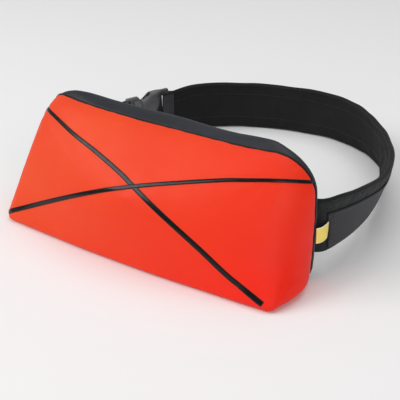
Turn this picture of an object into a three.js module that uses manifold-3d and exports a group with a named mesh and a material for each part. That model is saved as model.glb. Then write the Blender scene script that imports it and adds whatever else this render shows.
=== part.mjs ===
// Belt pack: a wedge-shaped pouch of coated cloth on a padded waist belt with a side-release buckle.
// Millimetres. X runs along the pouch, its front faces -Y, Z is up, and the pack stands on z = 0.
import * as THREE from "three";
import { mergeVertices } from "three/addons/utils/BufferGeometryUtils.js";
import Module from "manifold-3d";

const wasm = await Module();
wasm.setup();

// Pouch
const POUCH_LENGTH = 300;
const POUCH_HEIGHT = 116.5; // up to the top seam
const SEAM_DEPTH = 72; // from the front bottom edge back to the seam at the bottom and the ends
const TOP_FORWARD = 16; // how much further forward the seam runs at the middle of the top
const BACK_STRIP = 6; // from the seam at the ends and the bottom to the flat back
const BACK_DEPTH = SEAM_DEPTH + BACK_STRIP;
const LEAN_DEPTH = 50; // how far the front leans back over its height
const FRONT_BULGE = 30;
const END_BULGE = { left: 5, right: 9 };
const GUSSET_RISE = [
  // x, how much higher the back of the top is there than its seam
  [-150, 0],
  [-134, 1.5],
  [-121, 4.5],
  [-103, 5.4],
  [-72, 4.4],
  [-33, 4.4],
  [5, 4.7],
  [43, 3.6],
  [70, 3.9],
  [92, 5.4],
  [109, 5.6],
  [122, 2],
  [136, 0.3],
  [150, 0],
];
const TOP_CORNER = { left: 21, right: 34 };
const BOTTOM_CORNER = 9;
const FRONT_FORWARD = 9; // how far the bottom of the front stands forward of the line of its ends
const FRONT_FLARE = { bottom: 8, top: -12 }; // how much longer than the seam each end of the front is
const FRONT_EDGE = { top: 4, bottom: 6, end: 7 }; // rounding of the edges around the front
const BACK_EDGE = { top: 6, bottom: 3, end: 3 };
const CLOTH = 2;
const GAP = 0.3; // between pieces that are sewn or laid on each other

// Seam piping
const PIPING_WIDTH = 2.2;
const PIPING_OUT = 1; // how far it stands out of the cloth
const PIPING_IN = 2.4;

// Crossed tapes on the front
const TAPE_WIDTH = 4.6;
const TAPE_THICKNESS = 0.7;
const TAPE_GAP = 0.4;
const TAPE_SIDE = new THREE.Vector3(0, -1, 0.4).normalize(); // the way the front mostly faces

// Belt
const PAD_WIDTH = 55;
const PAD_THICKNESS = 6;
const PAD_GAP = 0.4; // between the back of the pouch and the pad
const WEBBING_WIDTH = 38;
const WEBBING_THICKNESS = 1.6;
const TAB_WIDTH = 15;
const TAB_THICKNESS = 1.2;

// Buckle
const BAR_SPACING = 50; // between the bars that the two straps fold round
const BAR_HALF = 2; // half the thickness of a bar
const BAR_EDGE = 0.7; // from the middle of a fold to the bar's edge at the slot, inside the fold's round
const MOUTH_GAP = 0.4; // between the socket's mouth and the plug's shoulder

// The belt loop seen from above, from behind the right half of the pouch round to behind its left half:
// place along the pouch, distance behind the pad's place against the back of the pouch, height of the
// belt's middle, and the lean of its upper edge away from the loop in degrees.
const LOOP = [
  // x, back, middle, lean
  [55, 0, 46, 0],
  [100, 0, 46, 0],
  [130, 0.6, 46, 0],
  [148, 7.6, 45, 4],
  [153.5, 24.6, 44, 8],
  [153.5, 63.6, 40, 15],
  [145.5, 115.6, 33, 22],
  [130, 164.6, 30.5, 17],
  [111, 204.6, 29, 5],
  [90, 238.6, 27.9, -7],
  [63, 264.6, 28, -8],
  [33, 283.6, 27.7, -4],
  [-10, 294.6, 27.5, 0],
  [-64, 285.6, 27.5, 0],
  [-105, 268.6, 27.5, 0],
  [-140, 240.6, 28, 0],
  [-165, 201.6, 29, 0],
  [-181, 168.6, 28, 0],
  [-191, 134.6, 26, 0],
  [-190, 102.6, 28, 0],
  [-179, 64.6, 33, 0],
  [-160, 30.6, 39, 0],
  [-137, 11.1, 44, 0],
  [-112, 4.1, 46, 0],
  [-88, 2.6, 46, 0],
  [-60, 2.2, 46, 0],
];
const SPAN_STEPS = 3;

// Where the pieces start and end on the loop, in millimetres along it.
const WEBBING_FROM = 101;
const PAD_TO = 661;
const PAD_TAPER = 45; // length over which the pad narrows to its end
const SOCKET_BAR = PAD_TO - 8; // the end of the pad covers the bar on the inside

function catmullRom(a, b, c, d, t) {
  const value = (p, q, r, s) =>
    0.5 * (2 * q + (r - p) * t + (2 * p - 5 * q + 4 * r - s) * t * t + (3 * q - p - 3 * r + s) * t ** 3);
  return b.map((_, i) => value(a[i], b[i], c[i], d[i]));
}

// A surface through rings of points. Each end is closed by a fan onto the given point or the ring's middle.
function loft(rings, { loop = false, startPole = null, endPole = null } = {}) {
  const points = rings.flat();
  const count = rings[0].length;
  const faces = [];
  const last = loop ? rings.length : rings.length - 1;
  for (let i = 0; i < last; i++) {
    const near = i * count;
    const far = ((i + 1) % rings.length) * count;
    for (let k = 0; k < count; k++) {
      const next = (k + 1) % count;
      faces.push(near + k, near + next, far + next, near + k, far + next, far + k);
    }
  }
  const closeEnd = (ring, first, pole, flip) => {
    const middle = ring.reduce((sum, p) => sum.add(p), new THREE.Vector3()).divideScalar(count);
    points.push(pole ?? middle);
    for (let k = 0; k < count; k++) {
      const next = (k + 1) % count;
      const pair = flip ? [first + next, first + k] : [first + k, first + next];
      faces.push(points.length - 1, ...pair);
    }
  };
  if (!loop) {
    closeEnd(rings[0], 0, startPole, true);
    closeEnd(rings.at(-1), (rings.length - 1) * count, endPole, false);
  }
  const geometry = new THREE.BufferGeometry().setFromPoints(points);
  geometry.setIndex(faces);
  return faceOut(geometry);
}

function signedVolume(geometry) {
  const p = geometry.attributes.position;
  const corner = [0, 1, 2].map(() => new THREE.Vector3());
  let volume = 0;
  for (let i = 0; i < geometry.index.count; i += 3) {
    corner.forEach((v, j) => v.fromBufferAttribute(p, geometry.index.getX(i + j)));
    volume += corner[0].dot(corner[1].clone().cross(corner[2])) / 6;
  }
  return volume;
}

function faceOut(geometry) {
  if (signedVolume(geometry) < 0) geometry.index.array.reverse();
  return geometry;
}

function toManifold(geometry) {
  const plain = geometry.clone();
  plain.deleteAttribute("normal");
  plain.deleteAttribute("uv");
  const merged = mergeVertices(plain, 1e-4);
  return new wasm.Manifold(
    new wasm.Mesh({
      numProp: 3,
      vertProperties: new Float32Array(merged.attributes.position.array),
      triVerts: new Uint32Array(merged.index.array),
    }),
  );
}

function fromManifold(manifold) {
  const mesh = manifold.getMesh();
  const geometry = new THREE.BufferGeometry();
  geometry.setAttribute("position", new THREE.BufferAttribute(mesh.vertProperties, 3));
  geometry.setIndex(new THREE.BufferAttribute(mesh.triVerts, 1));
  return geometry;
}

// Pouch outline seen from the front, counter-clockwise, as points with outward normals.
const HALF_LENGTH = POUCH_LENGTH / 2;
const CORNER_STEPS = 5;
const LONG_STEPS = 16;
const END_STEPS = 5;

function pouchOutline() {
  const corners = [
    { side: 1, radius: BOTTOM_CORNER, z: BOTTOM_CORNER, from: -90, steps: END_STEPS },
    { side: 1, radius: TOP_CORNER.right, z: POUCH_HEIGHT - TOP_CORNER.right, from: 0, steps: LONG_STEPS },
    { side: -1, radius: TOP_CORNER.left, z: POUCH_HEIGHT - TOP_CORNER.left, from: 90, steps: END_STEPS },
    { side: -1, radius: BOTTOM_CORNER, z: BOTTOM_CORNER, from: 180, steps: LONG_STEPS },
  ];
  const at = (corner, angle) => {
    const turn = THREE.MathUtils.degToRad(corner.from + angle);
    const nx = Math.cos(turn);
    const nz = Math.sin(turn);
    const x = corner.side * (HALF_LENGTH - corner.radius) + corner.radius * nx;
    return { x, z: corner.z + corner.radius * nz, nx, nz };
  };
  return corners.flatMap((corner, i) => {
    const arc = [];
    for (let k = 0; k <= CORNER_STEPS; k++) arc.push(at(corner, (90 * k) / CORNER_STEPS));
    const start = arc.at(-1);
    const end = at(corners[(i + 1) % corners.length], 0);
    for (let k = 1; k < corner.steps; k++) {
      const share = k / corner.steps;
      const x = THREE.MathUtils.lerp(start.x, end.x, share);
      const z = THREE.MathUtils.lerp(start.z, end.z, share);
      arc.push({ x, z, nx: start.nx, nz: start.nz });
    }
    return arc;
  });
}
const OUTLINE = pouchOutline();

function edgeRadius(o, edge) {
  return edge.end * o.nx ** 2 + (o.nz > 0 ? edge.top : edge.bottom) * o.nz ** 2;
}

// Depth of the seam: level at the ends and the bottom, and brought forward along the top.
function seamDepth(o) {
  if (o.z < POUCH_HEIGHT / 2) return SEAM_DEPTH;
  return SEAM_DEPTH - TOP_FORWARD * (1 - Math.abs(o.x / HALF_LENGTH) ** 3.5);
}

// The front: a leaning plane swollen to a pillow with soft ridges along its diagonals.
const RIDGE_SHARE = 0.35;
const BULGE_SKEW = 1.25; // above 1 lifts the fullest part over mid-height

function frontDepth(x, z) {
  const along = Math.min(Math.abs(x / HALF_LENGTH), 1);
  const up = THREE.MathUtils.clamp(z / POUCH_HEIGHT, 0, 1);
  const across = Math.abs(2 * up ** BULGE_SKEW - 1);
  const pillow = (1 - along ** 2.2) * (1 - across ** 2);
  const pyramid = Math.max(1 - (along ** 3 + across ** 3) ** (1 / 3), 0);
  const foot = -FRONT_FORWARD * (1 - 0.5 * along ** 2) * (1 - up);
  return foot + LEAN_DEPTH * up - FRONT_BULGE * ((1 - RIDGE_SHARE) * pillow + RIDGE_SHARE * pyramid);
}

const CENTRE_Z = POUCH_HEIGHT / 2;
const SEAM_SLACK = 0.2; // the seam's slope at the upper corners takes this much of the gap
const seamHalf = PIPING_WIDTH / 2 + GAP + SEAM_SLACK;

// Rings of the front cover from its seam forward over the sides, round the edge and in to the middle.
function frontRings() {
  const rings = [];
  const pull = OUTLINE.map((o) => {
    const radius = edgeRadius(o, FRONT_EDGE);
    const x = o.x - o.nx * radius;
    const z = o.z - o.nz * radius;
    return { o, radius, x, z, depth: frontDepth(x, z), seam: seamDepth(o) - seamHalf };
  });
  const flared = (x, y, z, share) => {
    const flare = THREE.MathUtils.lerp(FRONT_FLARE.bottom, FRONT_FLARE.top, z / POUCH_HEIGHT);
    return new THREE.Vector3(x * (1 + (share * flare) / HALF_LENGTH), y, z);
  };
  for (const share of [0, 0.3, 0.7]) {
    rings.push(
      pull.map(({ o, radius, depth, seam }) => {
        const bulge = o.nx > 0 ? END_BULGE.right : END_BULGE.left;
        const swell = bulge * Math.sin(Math.PI * share) * Math.abs(o.nx);
        const y = THREE.MathUtils.lerp(seam, depth + radius, share);
        return flared(o.x + o.nx * swell, y, o.z, share);
      }),
    );
  }
  for (const degrees of [0, 30, 60, 90]) {
    const turn = THREE.MathUtils.degToRad(degrees);
    rings.push(
      pull.map(({ o, radius, depth }) => {
        const inset = radius * (1 - Math.cos(turn));
        const y = depth + radius * (1 - Math.sin(turn));
        return flared(o.x - o.nx * inset, y, o.z - o.nz * inset, 1);
      }),
    );
  }
  for (const share of [0.86, 0.7, 0.53, 0.35, 0.17]) {
    rings.push(
      pull.map((p) => {
        const x = p.x * share;
        const z = CENTRE_Z + (p.z - CENTRE_Z) * share;
        return flared(x, frontDepth(x, z), z, 1);
      }),
    );
  }
  return { rings, pole: new THREE.Vector3(0, frontDepth(0, CENTRE_Z), CENTRE_Z) };
}

function gussetRise(x) {
  const next = Math.max(GUSSET_RISE.findIndex((row) => row[0] >= x), 1);
  const [a, b] = [GUSSET_RISE[next - 1], GUSSET_RISE[next]];
  return THREE.MathUtils.mapLinear(x, a[0], b[0], a[1], b[1]);
}

// Rings of the back shell from the seam back over the top gusset, round the edge and in to the middle.
function backRings() {
  const rings = [];
  const rise = (o) => (o.nz > 0 ? o.nz * gussetRise(o.x) : 0);
  const place = (o, inset, y, lift) =>
    new THREE.Vector3(o.x - o.nx * inset, y, o.z - o.nz * inset + lift * rise(o));
  for (const share of [0, 0.5, 1]) {
    rings.push(
      OUTLINE.map((o) => {
        const far = BACK_DEPTH - edgeRadius(o, BACK_EDGE);
        const y = THREE.MathUtils.lerp(seamDepth(o) + seamHalf, far, share);
        return place(o, 0, y, Math.sin((Math.PI / 2) * share));
      }),
    );
  }
  for (const degrees of [30, 60, 90]) {
    const turn = THREE.MathUtils.degToRad(degrees);
    rings.push(
      OUTLINE.map((o) => {
        const radius = edgeRadius(o, BACK_EDGE);
        return place(o, radius * (1 - Math.cos(turn)), BACK_DEPTH - radius * (1 - Math.sin(turn)), 1);
      }),
    );
  }
  const edge = rings.at(-1);
  for (const share of [0.7, 0.35]) {
    rings.push(
      edge.map((p) => new THREE.Vector3(p.x * share, BACK_DEPTH, CENTRE_Z + (p.z - CENTRE_Z) * share)),
    );
  }
  return { rings, pole: new THREE.Vector3(0, BACK_DEPTH, CENTRE_Z) };
}

// Moves every point of the surface along its normal; the seam itself is closed flat.
function offsetRings({ rings, pole }, distance) {
  const skin = loft(rings, { endPole: pole.clone() });
  const count = rings[0].length;
  const open = skin.clone();
  const poleFace = rings.length * count; // the fan that closes the seam meets this point
  const kept = [];
  for (let i = 0; i < skin.index.count; i += 3) {
    const face = [0, 1, 2].map((j) => skin.index.getX(i + j));
    if (!face.includes(poleFace)) kept.push(...face);
  }
  open.setIndex(kept);
  open.computeVertexNormals();
  const normal = new THREE.Vector3();
  const moved = (p, index) => {
    normal.fromBufferAttribute(open.attributes.normal, index);
    return p.clone().addScaledVector(normal, distance);
  };
  return {
    rings: rings.map((ring, i) => ring.map((p, k) => moved(p, i * count + k))),
    pole: moved(pole, poleFace + 1),
  };
}

// An open bowl of even cloth from the rings of its outside.
function bowl(outside) {
  const inside = offsetRings(outside, -CLOTH);
  const rings = [...outside.rings.slice().reverse(), ...inside.rings];
  return loft(rings, { startPole: outside.pole, endPole: inside.pole });
}

const front = frontRings();
const frontCover = bowl(front);
const backShell = bowl(backRings());

// Piping all round between the two halves.
function pipingRing() {
  const half = PIPING_WIDTH / 2;
  const section = [
    [-half, -PIPING_IN],
    [-half, PIPING_OUT * 0.5],
    [-half * 0.5, PIPING_OUT],
    [half * 0.5, PIPING_OUT],
    [half, PIPING_OUT * 0.5],
    [half, -PIPING_IN],
  ];
  const rings = OUTLINE.map((o) => {
    const lift = Math.max(0, -o.nz) * PIPING_OUT; // flat with the cloth along the bottom
    return section.map(
      ([y, out]) =>
        new THREE.Vector3(
          o.x + o.nx * out,
          seamDepth(o) + y,
          o.z + o.nz * (out - lift),
        ),
    );
  });
  return loft(rings, { loop: true });
}

// Two tapes that run from corner to corner over the front and are one piece where they cross.
// Their middle lines seen from the front.
const TAPES = [
  // x, z
  [
    [-134, 108],
    [-100, 98.5],
    [-62, 92],
    [-21, 83.2],
    [6, 76.8],
    [45, 60.7],
    [83, 39.7],
    [114, 21.5],
    [148, 7.5],
  ],
  [
    [-153, 7.5],
    [-112, 27.6],
    [-58, 53.1],
    [-13, 71.2],
    [6, 77],
    [36, 84.5],
    [66, 91],
    [110, 98.5],
    [142, 99.5],
  ],
];

const TAPE_REACH = 11; // in front of and behind the cloth, to cut the tape out of a layer on it
const TAPE_STEPS = 12;

function tapePrism(points) {
  const line = new THREE.CatmullRomCurve3(points.map(([x, z]) => new THREE.Vector3(x, 0, z)));
  const rings = [];
  for (let i = 0; i <= TAPE_STEPS; i++) {
    const middle = line.getPoint(i / TAPE_STEPS);
    const along = line.getTangent(i / TAPE_STEPS);
    const side = new THREE.Vector3(-along.z, 0, along.x).multiplyScalar(TAPE_WIDTH / 2);
    const depth = frontDepth(middle.x, middle.z);
    const corner = (sign, y) => middle.clone().addScaledVector(side, sign).setY(depth + y);
    rings.push([corner(1, -TAPE_REACH), corner(-1, -TAPE_REACH), corner(-1, TAPE_REACH), corner(1, TAPE_REACH)]);
  }
  return toManifold(loft(rings));
}

function crossTape() {
  const cover = toManifold(loft(front.rings.slice().reverse(), { startPole: front.pole }));
  const moved = (distance) => cover.translate(TAPE_SIDE.clone().multiplyScalar(distance).toArray());
  const layer = moved(TAPE_GAP + TAPE_THICKNESS).subtract(moved(TAPE_GAP));
  const prisms = TAPES.map(tapePrism);
  const parts = prisms[0].add(prisms[1]).intersect(layer).decompose();
  const inFront = parts.reduce((a, b) => (b.volume() > a.volume() ? b : a));
  return fromManifold(inFront);
}

// Frames along the belt loop: place, direction, and the leaning upright and outward directions.
function loopFrames() {
  const rows = LOOP;
  const spots = [];
  for (let i = 0; i < rows.length - 1; i++) {
    const before = rows[Math.max(i - 1, 0)];
    const after = rows[Math.min(i + 2, rows.length - 1)];
    for (let k = 0; k < SPAN_STEPS; k++) {
      spots.push(catmullRom(before, rows[i], rows[i + 1], after, k / SPAN_STEPS));
    }
  }
  spots.push(rows.at(-1));
  const against = BACK_DEPTH + PAD_GAP + PAD_THICKNESS / 2;
  let distance = 0;
  const frames = spots.map(([x, back, middle, lean], i) => {
    const a = spots[Math.max(i - 1, 0)];
    const b = spots[Math.min(i + 1, spots.length - 1)];
    const along = new THREE.Vector3(b[0] - a[0], b[1] - a[1], 0).normalize();
    const level = new THREE.Vector3(along.y, -along.x, 0);
    const tilt = THREE.MathUtils.degToRad(lean);
    const up = new THREE.Vector3(0, 0, Math.cos(tilt)).addScaledVector(level, Math.sin(tilt));
    const out = level.clone().multiplyScalar(Math.cos(tilt)).setZ(-Math.sin(tilt));
    const place = new THREE.Vector3(x, against + back, middle);
    if (i) distance += Math.hypot(x - spots[i - 1][0], back - spots[i - 1][1]);
    return { place, along, up, out, distance };
  });
  return frames;
}
const FRAMES = loopFrames();
const LOOP_LENGTH = FRAMES.at(-1).distance;

function frameAt(distance) {
  const next = FRAMES.findIndex((f) => f.distance >= distance - 1e-6);
  if (next < 1) return FRAMES[0];
  const [a, b] = [FRAMES[next - 1], FRAMES[next]];
  const t = (distance - a.distance) / (b.distance - a.distance);
  const mix = (key) => a[key].clone().lerp(b[key], t);
  return { place: mix("place"), along: mix("along"), up: mix("up"), out: mix("out"), distance };
}

// The frames between two distances along the loop, with one placed exactly at each end.
function framesBetween(from, to) {
  const inner = FRAMES.filter((f) => f.distance > from + 3 && f.distance < to - 3);
  return [frameAt(from), ...inner, frameAt(to)];
}

// A band of even section along frames; each section point is given as how far out and how far up it lies.
function band(frames, sectionOf) {
  const rings = frames.map((f) =>
    sectionOf(f).map(([out, up]) => f.place.clone().addScaledVector(f.out, out).addScaledVector(f.up, up)),
  );
  return loft(rings);
}

const flatSection = (width, thickness) => () => [
  [-thickness / 2, width / 2],
  [-thickness / 2, -width / 2],
  [thickness / 2, -width / 2],
  [thickness / 2, width / 2],
];

// How far below the middle of the pad the webbing runs: lower beside the pouch, level at the buckle.
const WEBBING_DROP = 4.5;
const webbingDrop = (f) =>
  WEBBING_DROP * (1 - THREE.MathUtils.smoothstep(f.distance, PAD_TO - 200, PAD_TO - 60));

// Padded belt: full width, narrowed and thinned over its last stretch towards the buckle.
function padSection(f) {
  const taper = THREE.MathUtils.smoothstep(f.distance, PAD_TO - PAD_TAPER, PAD_TO);
  const half = (PAD_WIDTH / 2) * (1 - 0.22 * taper);
  const thick = (PAD_THICKNESS / 2) * (1 - 0.35 * taper);
  const strap = [WEBBING_WIDTH / 2, -WEBBING_WIDTH / 2].map((edge) => edge - webbingDrop(f));
  return [
    [-thick, -half + thick],
    [-thick, half - thick],
    [-thick / 2, half],
    [thick / 2, half],
    [thick, half - thick],
    [thick, Math.min(strap[0], half - thick - 1)],
    [thick, Math.max(strap[1], -half + thick + 1)],
    [thick, -half + thick],
    [thick / 2, -half],
    [-thick / 2, -half],
  ];
}
const beltPad = band(framesBetween(0, PAD_TO), padSection);

// Both straps lie on one line outside the middle of the pad, and the buckle's bars sit outside them.
const STRAP_OUT = PAD_THICKNESS / 2 + GAP + WEBBING_THICKNESS / 2;
const FOLD_RADIUS = BAR_HALF + GAP + WEBBING_THICKNESS / 2;
const FOLDED_OUT = STRAP_OUT + WEBBING_THICKNESS + GAP; // the end of a strap laid back on itself
const FOLD_SLOPE = 18; // how far from the bar the end is down on the strap again

function strapFrame(f, out, drop = 0) {
  const place = f.place.clone().addScaledVector(f.out, out).addScaledVector(f.up, -drop);
  return { ...f, place };
}

const PLUG_BAR = SOCKET_BAR + BAR_SPACING;

// The buckle is straight: its frame starts at the socket's bar and points to the plug's bar.
function buckleFrame() {
  const centre = (distance) => strapFrame(frameAt(distance), STRAP_OUT + FOLD_RADIUS).place;
  const place = centre(SOCKET_BAR);
  const along = centre(PLUG_BAR).sub(place).normalize();
  const out = along.clone().cross(new THREE.Vector3(0, 0, 1)).normalize();
  const up = out.clone().cross(along);
  return { place, along, up, out, end: place.clone().addScaledVector(along, BAR_SPACING) };
}
const buckle = buckleFrame();

// A strap's half turn round a bar, from its inner side to its outer side, and a first step back.
const FOLD_STRAIGHT = 4.5;
function fold(centre, side) {
  const frames = [0, 36, 72, 108, 144, 180].map((degrees) => {
    const turn = THREE.MathUtils.degToRad(degrees);
    const away = buckle.out.clone().multiplyScalar(-Math.cos(turn));
    away.addScaledVector(buckle.along, side * Math.sin(turn));
    const place = centre.clone().addScaledVector(away, FOLD_RADIUS);
    return { place, out: away.clone().negate(), up: buckle.up };
  });
  const end = frames.at(-1);
  const place = end.place.clone().addScaledVector(buckle.along, -side * FOLD_STRAIGHT);
  return [...frames, { ...end, place }];
}

const flipped = (f) => ({ ...f, out: f.out.clone().negate() });
const strapSection = flatSection(WEBBING_WIDTH, WEBBING_THICKNESS);

// Webbing on the outside of the pad, round the socket's bar and back onto itself.
const WEBBING_FOLD = 40;
function beltWebbing() {
  const run = framesBetween(WEBBING_FROM, SOCKET_BAR - 2).map((f) => strapFrame(f, STRAP_OUT, webbingDrop(f)));
  const back = framesBetween(SOCKET_BAR - WEBBING_FOLD, SOCKET_BAR - FOLD_SLOPE);
  const end = back.reverse().map((f) => flipped(strapFrame(f, FOLDED_OUT, webbingDrop(f))));
  return band([...run, ...fold(buckle.place, 1), ...end], strapSection);
}

// Strap from behind the left half of the pouch, round the plug's bar and back onto itself.
const STRAP_FOLD = 55;
function leftStrap() {
  const run = framesBetween(PLUG_BAR + 2, LOOP_LENGTH).map((f) => strapFrame(f, STRAP_OUT));
  const back = framesBetween(PLUG_BAR + FOLD_SLOPE, PLUG_BAR + STRAP_FOLD);
  const end = back.map((f) => flipped(strapFrame(f, FOLDED_OUT)));
  return band([...run.reverse(), ...fold(buckle.end, -1), ...end], strapSection);
}

// Short tab from the end of the pouch to the start of the webbing, bowed out between them.
const TAB_HEIGHT = 43;
const TAB_BOW = [
  // out from the end of the pouch, back from its seam
  [0, 1],
  [3.3, 6],
  [4.3, 14],
];
function pullTab() {
  const level = new THREE.Vector3(0, 0, 1);
  const atPouch = ([out, back]) => {
    const x = HALF_LENGTH + PIPING_OUT + GAP + TAB_THICKNESS / 2 + out;
    return { place: new THREE.Vector3(x, SEAM_DEPTH + back, TAB_HEIGHT), up: level };
  };
  const onPad = (distance) => {
    const f = frameAt(distance);
    const place = f.place.clone().addScaledVector(f.out, PAD_THICKNESS / 2 + GAP + TAB_THICKNESS / 2);
    return { place: place.addScaledVector(f.up, TAB_HEIGHT - place.z), up: f.up };
  };
  const spots = [...TAB_BOW.map(atPouch), onPad(WEBBING_FROM - 0.6)];
  const frames = spots.map(({ place, up }, i) => {
    const next = spots[Math.min(i + 1, spots.length - 1)].place;
    const along = next.clone().sub(spots[Math.max(i - 1, 0)].place);
    return { place, up, out: along.cross(up).normalize() };
  });
  return band(frames, flatSection(TAB_WIDTH, TAB_THICKNESS));
}

// A plate drawn by its corners in the buckle's own frame, X along the belt and Y up, even about its middle.
function plate(corners, halfThickness, hole = null) {
  const shape = new THREE.Shape(corners.map(([x, y]) => new THREE.Vector2(x, y)));
  if (hole) shape.holes.push(new THREE.Path(hole.map(([x, y]) => new THREE.Vector2(x, y))));
  const body = new THREE.ExtrudeGeometry(shape, { depth: 2 * halfThickness, bevelEnabled: false });
  return toManifold(body.translate(0, 0, -halfThickness));
}
const mirrored = (corners) => corners.map(([x, y]) => [x, -y]).reverse();

function inBuckleFrame(geometry) {
  const basis = new THREE.Matrix4().makeBasis(buckle.along, buckle.up, buckle.out);
  return geometry.applyMatrix4(basis.setPosition(buckle.place));
}

// Socket: a bar for the webbing, then a shell open at its mouth and at the two side windows.
const SOCKET_STATIONS = [
  // along, half height, half thickness
  [-3, 23, 1.6],
  [-1.5, 24.5, BAR_HALF],
  [6, 24.5, BAR_HALF],
  [11, 24.5, 5],
  [15, 24.5, 6],
  [22, 24, 6.3],
  [30, 18, 6],
  [33, 17, 5.2],
];
const [SOCKET_LENGTH, MOUTH_HALF] = SOCKET_STATIONS.at(-1);
const STRAP_SLOT = WEBBING_WIDTH / 2 + 0.8;
const SLOT_WIDTH = 4.4;
const POCKET = { to: 16, half: 3, floor: 0.6 }; // narrows from the slot, open on the wearer's side only
const CAVITY = { from: 19, half: 14.5, thickness: 3.4 };
const WINDOW = { from: 20.5, to: 30 };
const THROUGH = 20; // half the depth of a cut that goes right through
const CUT_OVERLAP = 0.1; // how far two cuts that meet run into each other
const ROUNDNESS = 0.45; // 1 gives an oval section, towards 0 a rectangle
const SECTION_POINTS = 16;

function buckleSocket() {
  const rings = SOCKET_STATIONS.map(([x, half, thick]) => {
    const ring = [];
    for (let k = 0; k < SECTION_POINTS; k++) {
      const turn = (2 * Math.PI * (k + 0.5)) / SECTION_POINTS;
      const round = (value) => Math.sign(value) * Math.abs(value) ** ROUNDNESS;
      ring.push(new THREE.Vector3(x, half * round(Math.sin(turn)), thick * round(Math.cos(turn))));
    }
    return ring;
  });
  const slotEnd = BAR_EDGE + SLOT_WIDTH;
  const slot = [
    [BAR_EDGE, -STRAP_SLOT],
    [slotEnd, -STRAP_SLOT],
    [slotEnd, STRAP_SLOT],
    [BAR_EDGE, STRAP_SLOT],
  ];
  const pocket = [
    [slotEnd - CUT_OVERLAP, -STRAP_SLOT],
    [POCKET.to, -POCKET.half],
    [POCKET.to, POCKET.half],
    [slotEnd - CUT_OVERLAP, STRAP_SLOT],
  ];
  const cavity = [
    [CAVITY.from, -CAVITY.half],
    [SOCKET_LENGTH + 5, -CAVITY.half],
    [SOCKET_LENGTH + 5, CAVITY.half],
    [CAVITY.from, CAVITY.half],
  ];
  const window = [
    [WINDOW.from, CAVITY.half - 1],
    [WINDOW.to, CAVITY.half - 1],
    [WINDOW.to, THROUGH + CAVITY.half],
    [WINDOW.from, THROUGH + CAVITY.half],
  ];
  return [
    plate(slot, THROUGH),
    plate(pocket, THROUGH).translate([0, 0, POCKET.floor - THROUGH]),
    plate(cavity, CAVITY.thickness),
    plate(window, CAVITY.thickness),
    plate(mirrored(window), CAVITY.thickness),
  ].reduce((body, cut) => body.subtract(cut), toManifold(loft(rings)));
}

// Plug: a shoulder with a bar for the strap behind it, and two prongs and a guide inside the socket.
const PLUG_HALF = 22;
const PLUG_NECK = 4; // over which the plug widens from the mouth to its full height
const PLUG_BODY = { length: 10, half: 19, thickness: 4.4, inset: 0.5 };
const PRONG_PLAY = 0.8; // between a prong and the walls of the cavity
const PRONG_THICKNESS = CAVITY.thickness - PRONG_PLAY; // half of it
const PRONG_FROM = CAVITY.from + 2;

function bucklePlug() {
  const shoulder = SOCKET_LENGTH + MOUTH_GAP;
  const end = BAR_SPACING + BAR_HALF;
  const frame = [
    [shoulder, -MOUTH_HALF],
    [shoulder + PLUG_NECK, -PLUG_HALF],
    [end - 1, -PLUG_HALF],
    [end, 1 - PLUG_HALF],
    [end, PLUG_HALF - 1],
    [end - 1, PLUG_HALF],
    [shoulder + PLUG_NECK, PLUG_HALF],
    [shoulder, MOUTH_HALF],
  ];
  const slot = [
    [BAR_SPACING - BAR_EDGE - SLOT_WIDTH, -STRAP_SLOT],
    [BAR_SPACING - BAR_EDGE, -STRAP_SLOT],
    [BAR_SPACING - BAR_EDGE, STRAP_SLOT],
    [BAR_SPACING - BAR_EDGE - SLOT_WIDTH, STRAP_SLOT],
  ];
  const body = [
    [shoulder, PLUG_BODY.inset - MOUTH_HALF],
    [shoulder + PLUG_BODY.length, -PLUG_BODY.half],
    [shoulder + PLUG_BODY.length, PLUG_BODY.half],
    [shoulder, MOUTH_HALF - PLUG_BODY.inset],
  ];
  const guide = [
    [PRONG_FROM, -2],
    [shoulder + 1, -3],
    [shoulder + 1, 3],
    [PRONG_FROM, 2],
  ];
  const prong = [
    [PRONG_FROM, CAVITY.half - 6.5],
    [shoulder + 1, CAVITY.half - 6.5],
    [shoulder + 1, CAVITY.half - 2.5],
    [WINDOW.to - PRONG_PLAY, CAVITY.half - 1.5],
    [WINDOW.to - 2 * PRONG_PLAY, CAVITY.half + 2.5],
    [WINDOW.from + 3, CAVITY.half + 4.5],
    [PRONG_FROM, CAVITY.half - 2.5],
  ];
  return [
    plate(body, PLUG_BODY.thickness),
    plate(guide, PRONG_THICKNESS),
    plate(prong, PRONG_THICKNESS),
    plate(mirrored(prong), PRONG_THICKNESS),
  ].reduce((whole, piece) => whole.add(piece), plate(frame, BAR_HALF, slot));
}

const finish = (color, roughness) => new THREE.MeshStandardMaterial({ color, roughness, metalness: 0 });
const PIECES = {
  front_cover: [frontCover, finish(0xe6502f, 0.5)],
  back_shell: [backShell, finish(0x30333a, 0.6)],
  seam_piping: [pipingRing(), finish(0x0d0c0c, 0.4)],
  cross_tape: [crossTape(), finish(0x0a0908, 0.3)],
  belt_pad: [beltPad, finish(0x1f1f21, 0.85)],
  belt_webbing: [beltWebbing(), finish(0x3a3b3f, 0.7)],
  left_strap: [leftStrap(), finish(0x2c2c2e, 0.75)],
  pull_tab: [pullTab(), finish(0xf8d86a, 0.6)],
  buckle_socket: [inBuckleFrame(fromManifold(buckleSocket())), finish(0x2b2b2d, 0.35)],
  buckle_plug: [inBuckleFrame(fromManifold(bucklePlug())), finish(0x242426, 0.35)],
};

const group = new THREE.Group();
group.name = "belt_pack";
for (const [name, [geometry, look]] of Object.entries(PIECES)) {
  geometry.computeVertexNormals();
  const mesh = new THREE.Mesh(geometry, look);
  mesh.name = name;
  group.add(mesh);
}

// The origin goes to the middle of the footprint, on the ground.
const bounds = new THREE.Box3().setFromObject(group);
const middle = bounds.getCenter(new THREE.Vector3());
for (const mesh of group.children) mesh.position.set(-middle.x, -middle.y, -bounds.min.z);

export default group;
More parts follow.
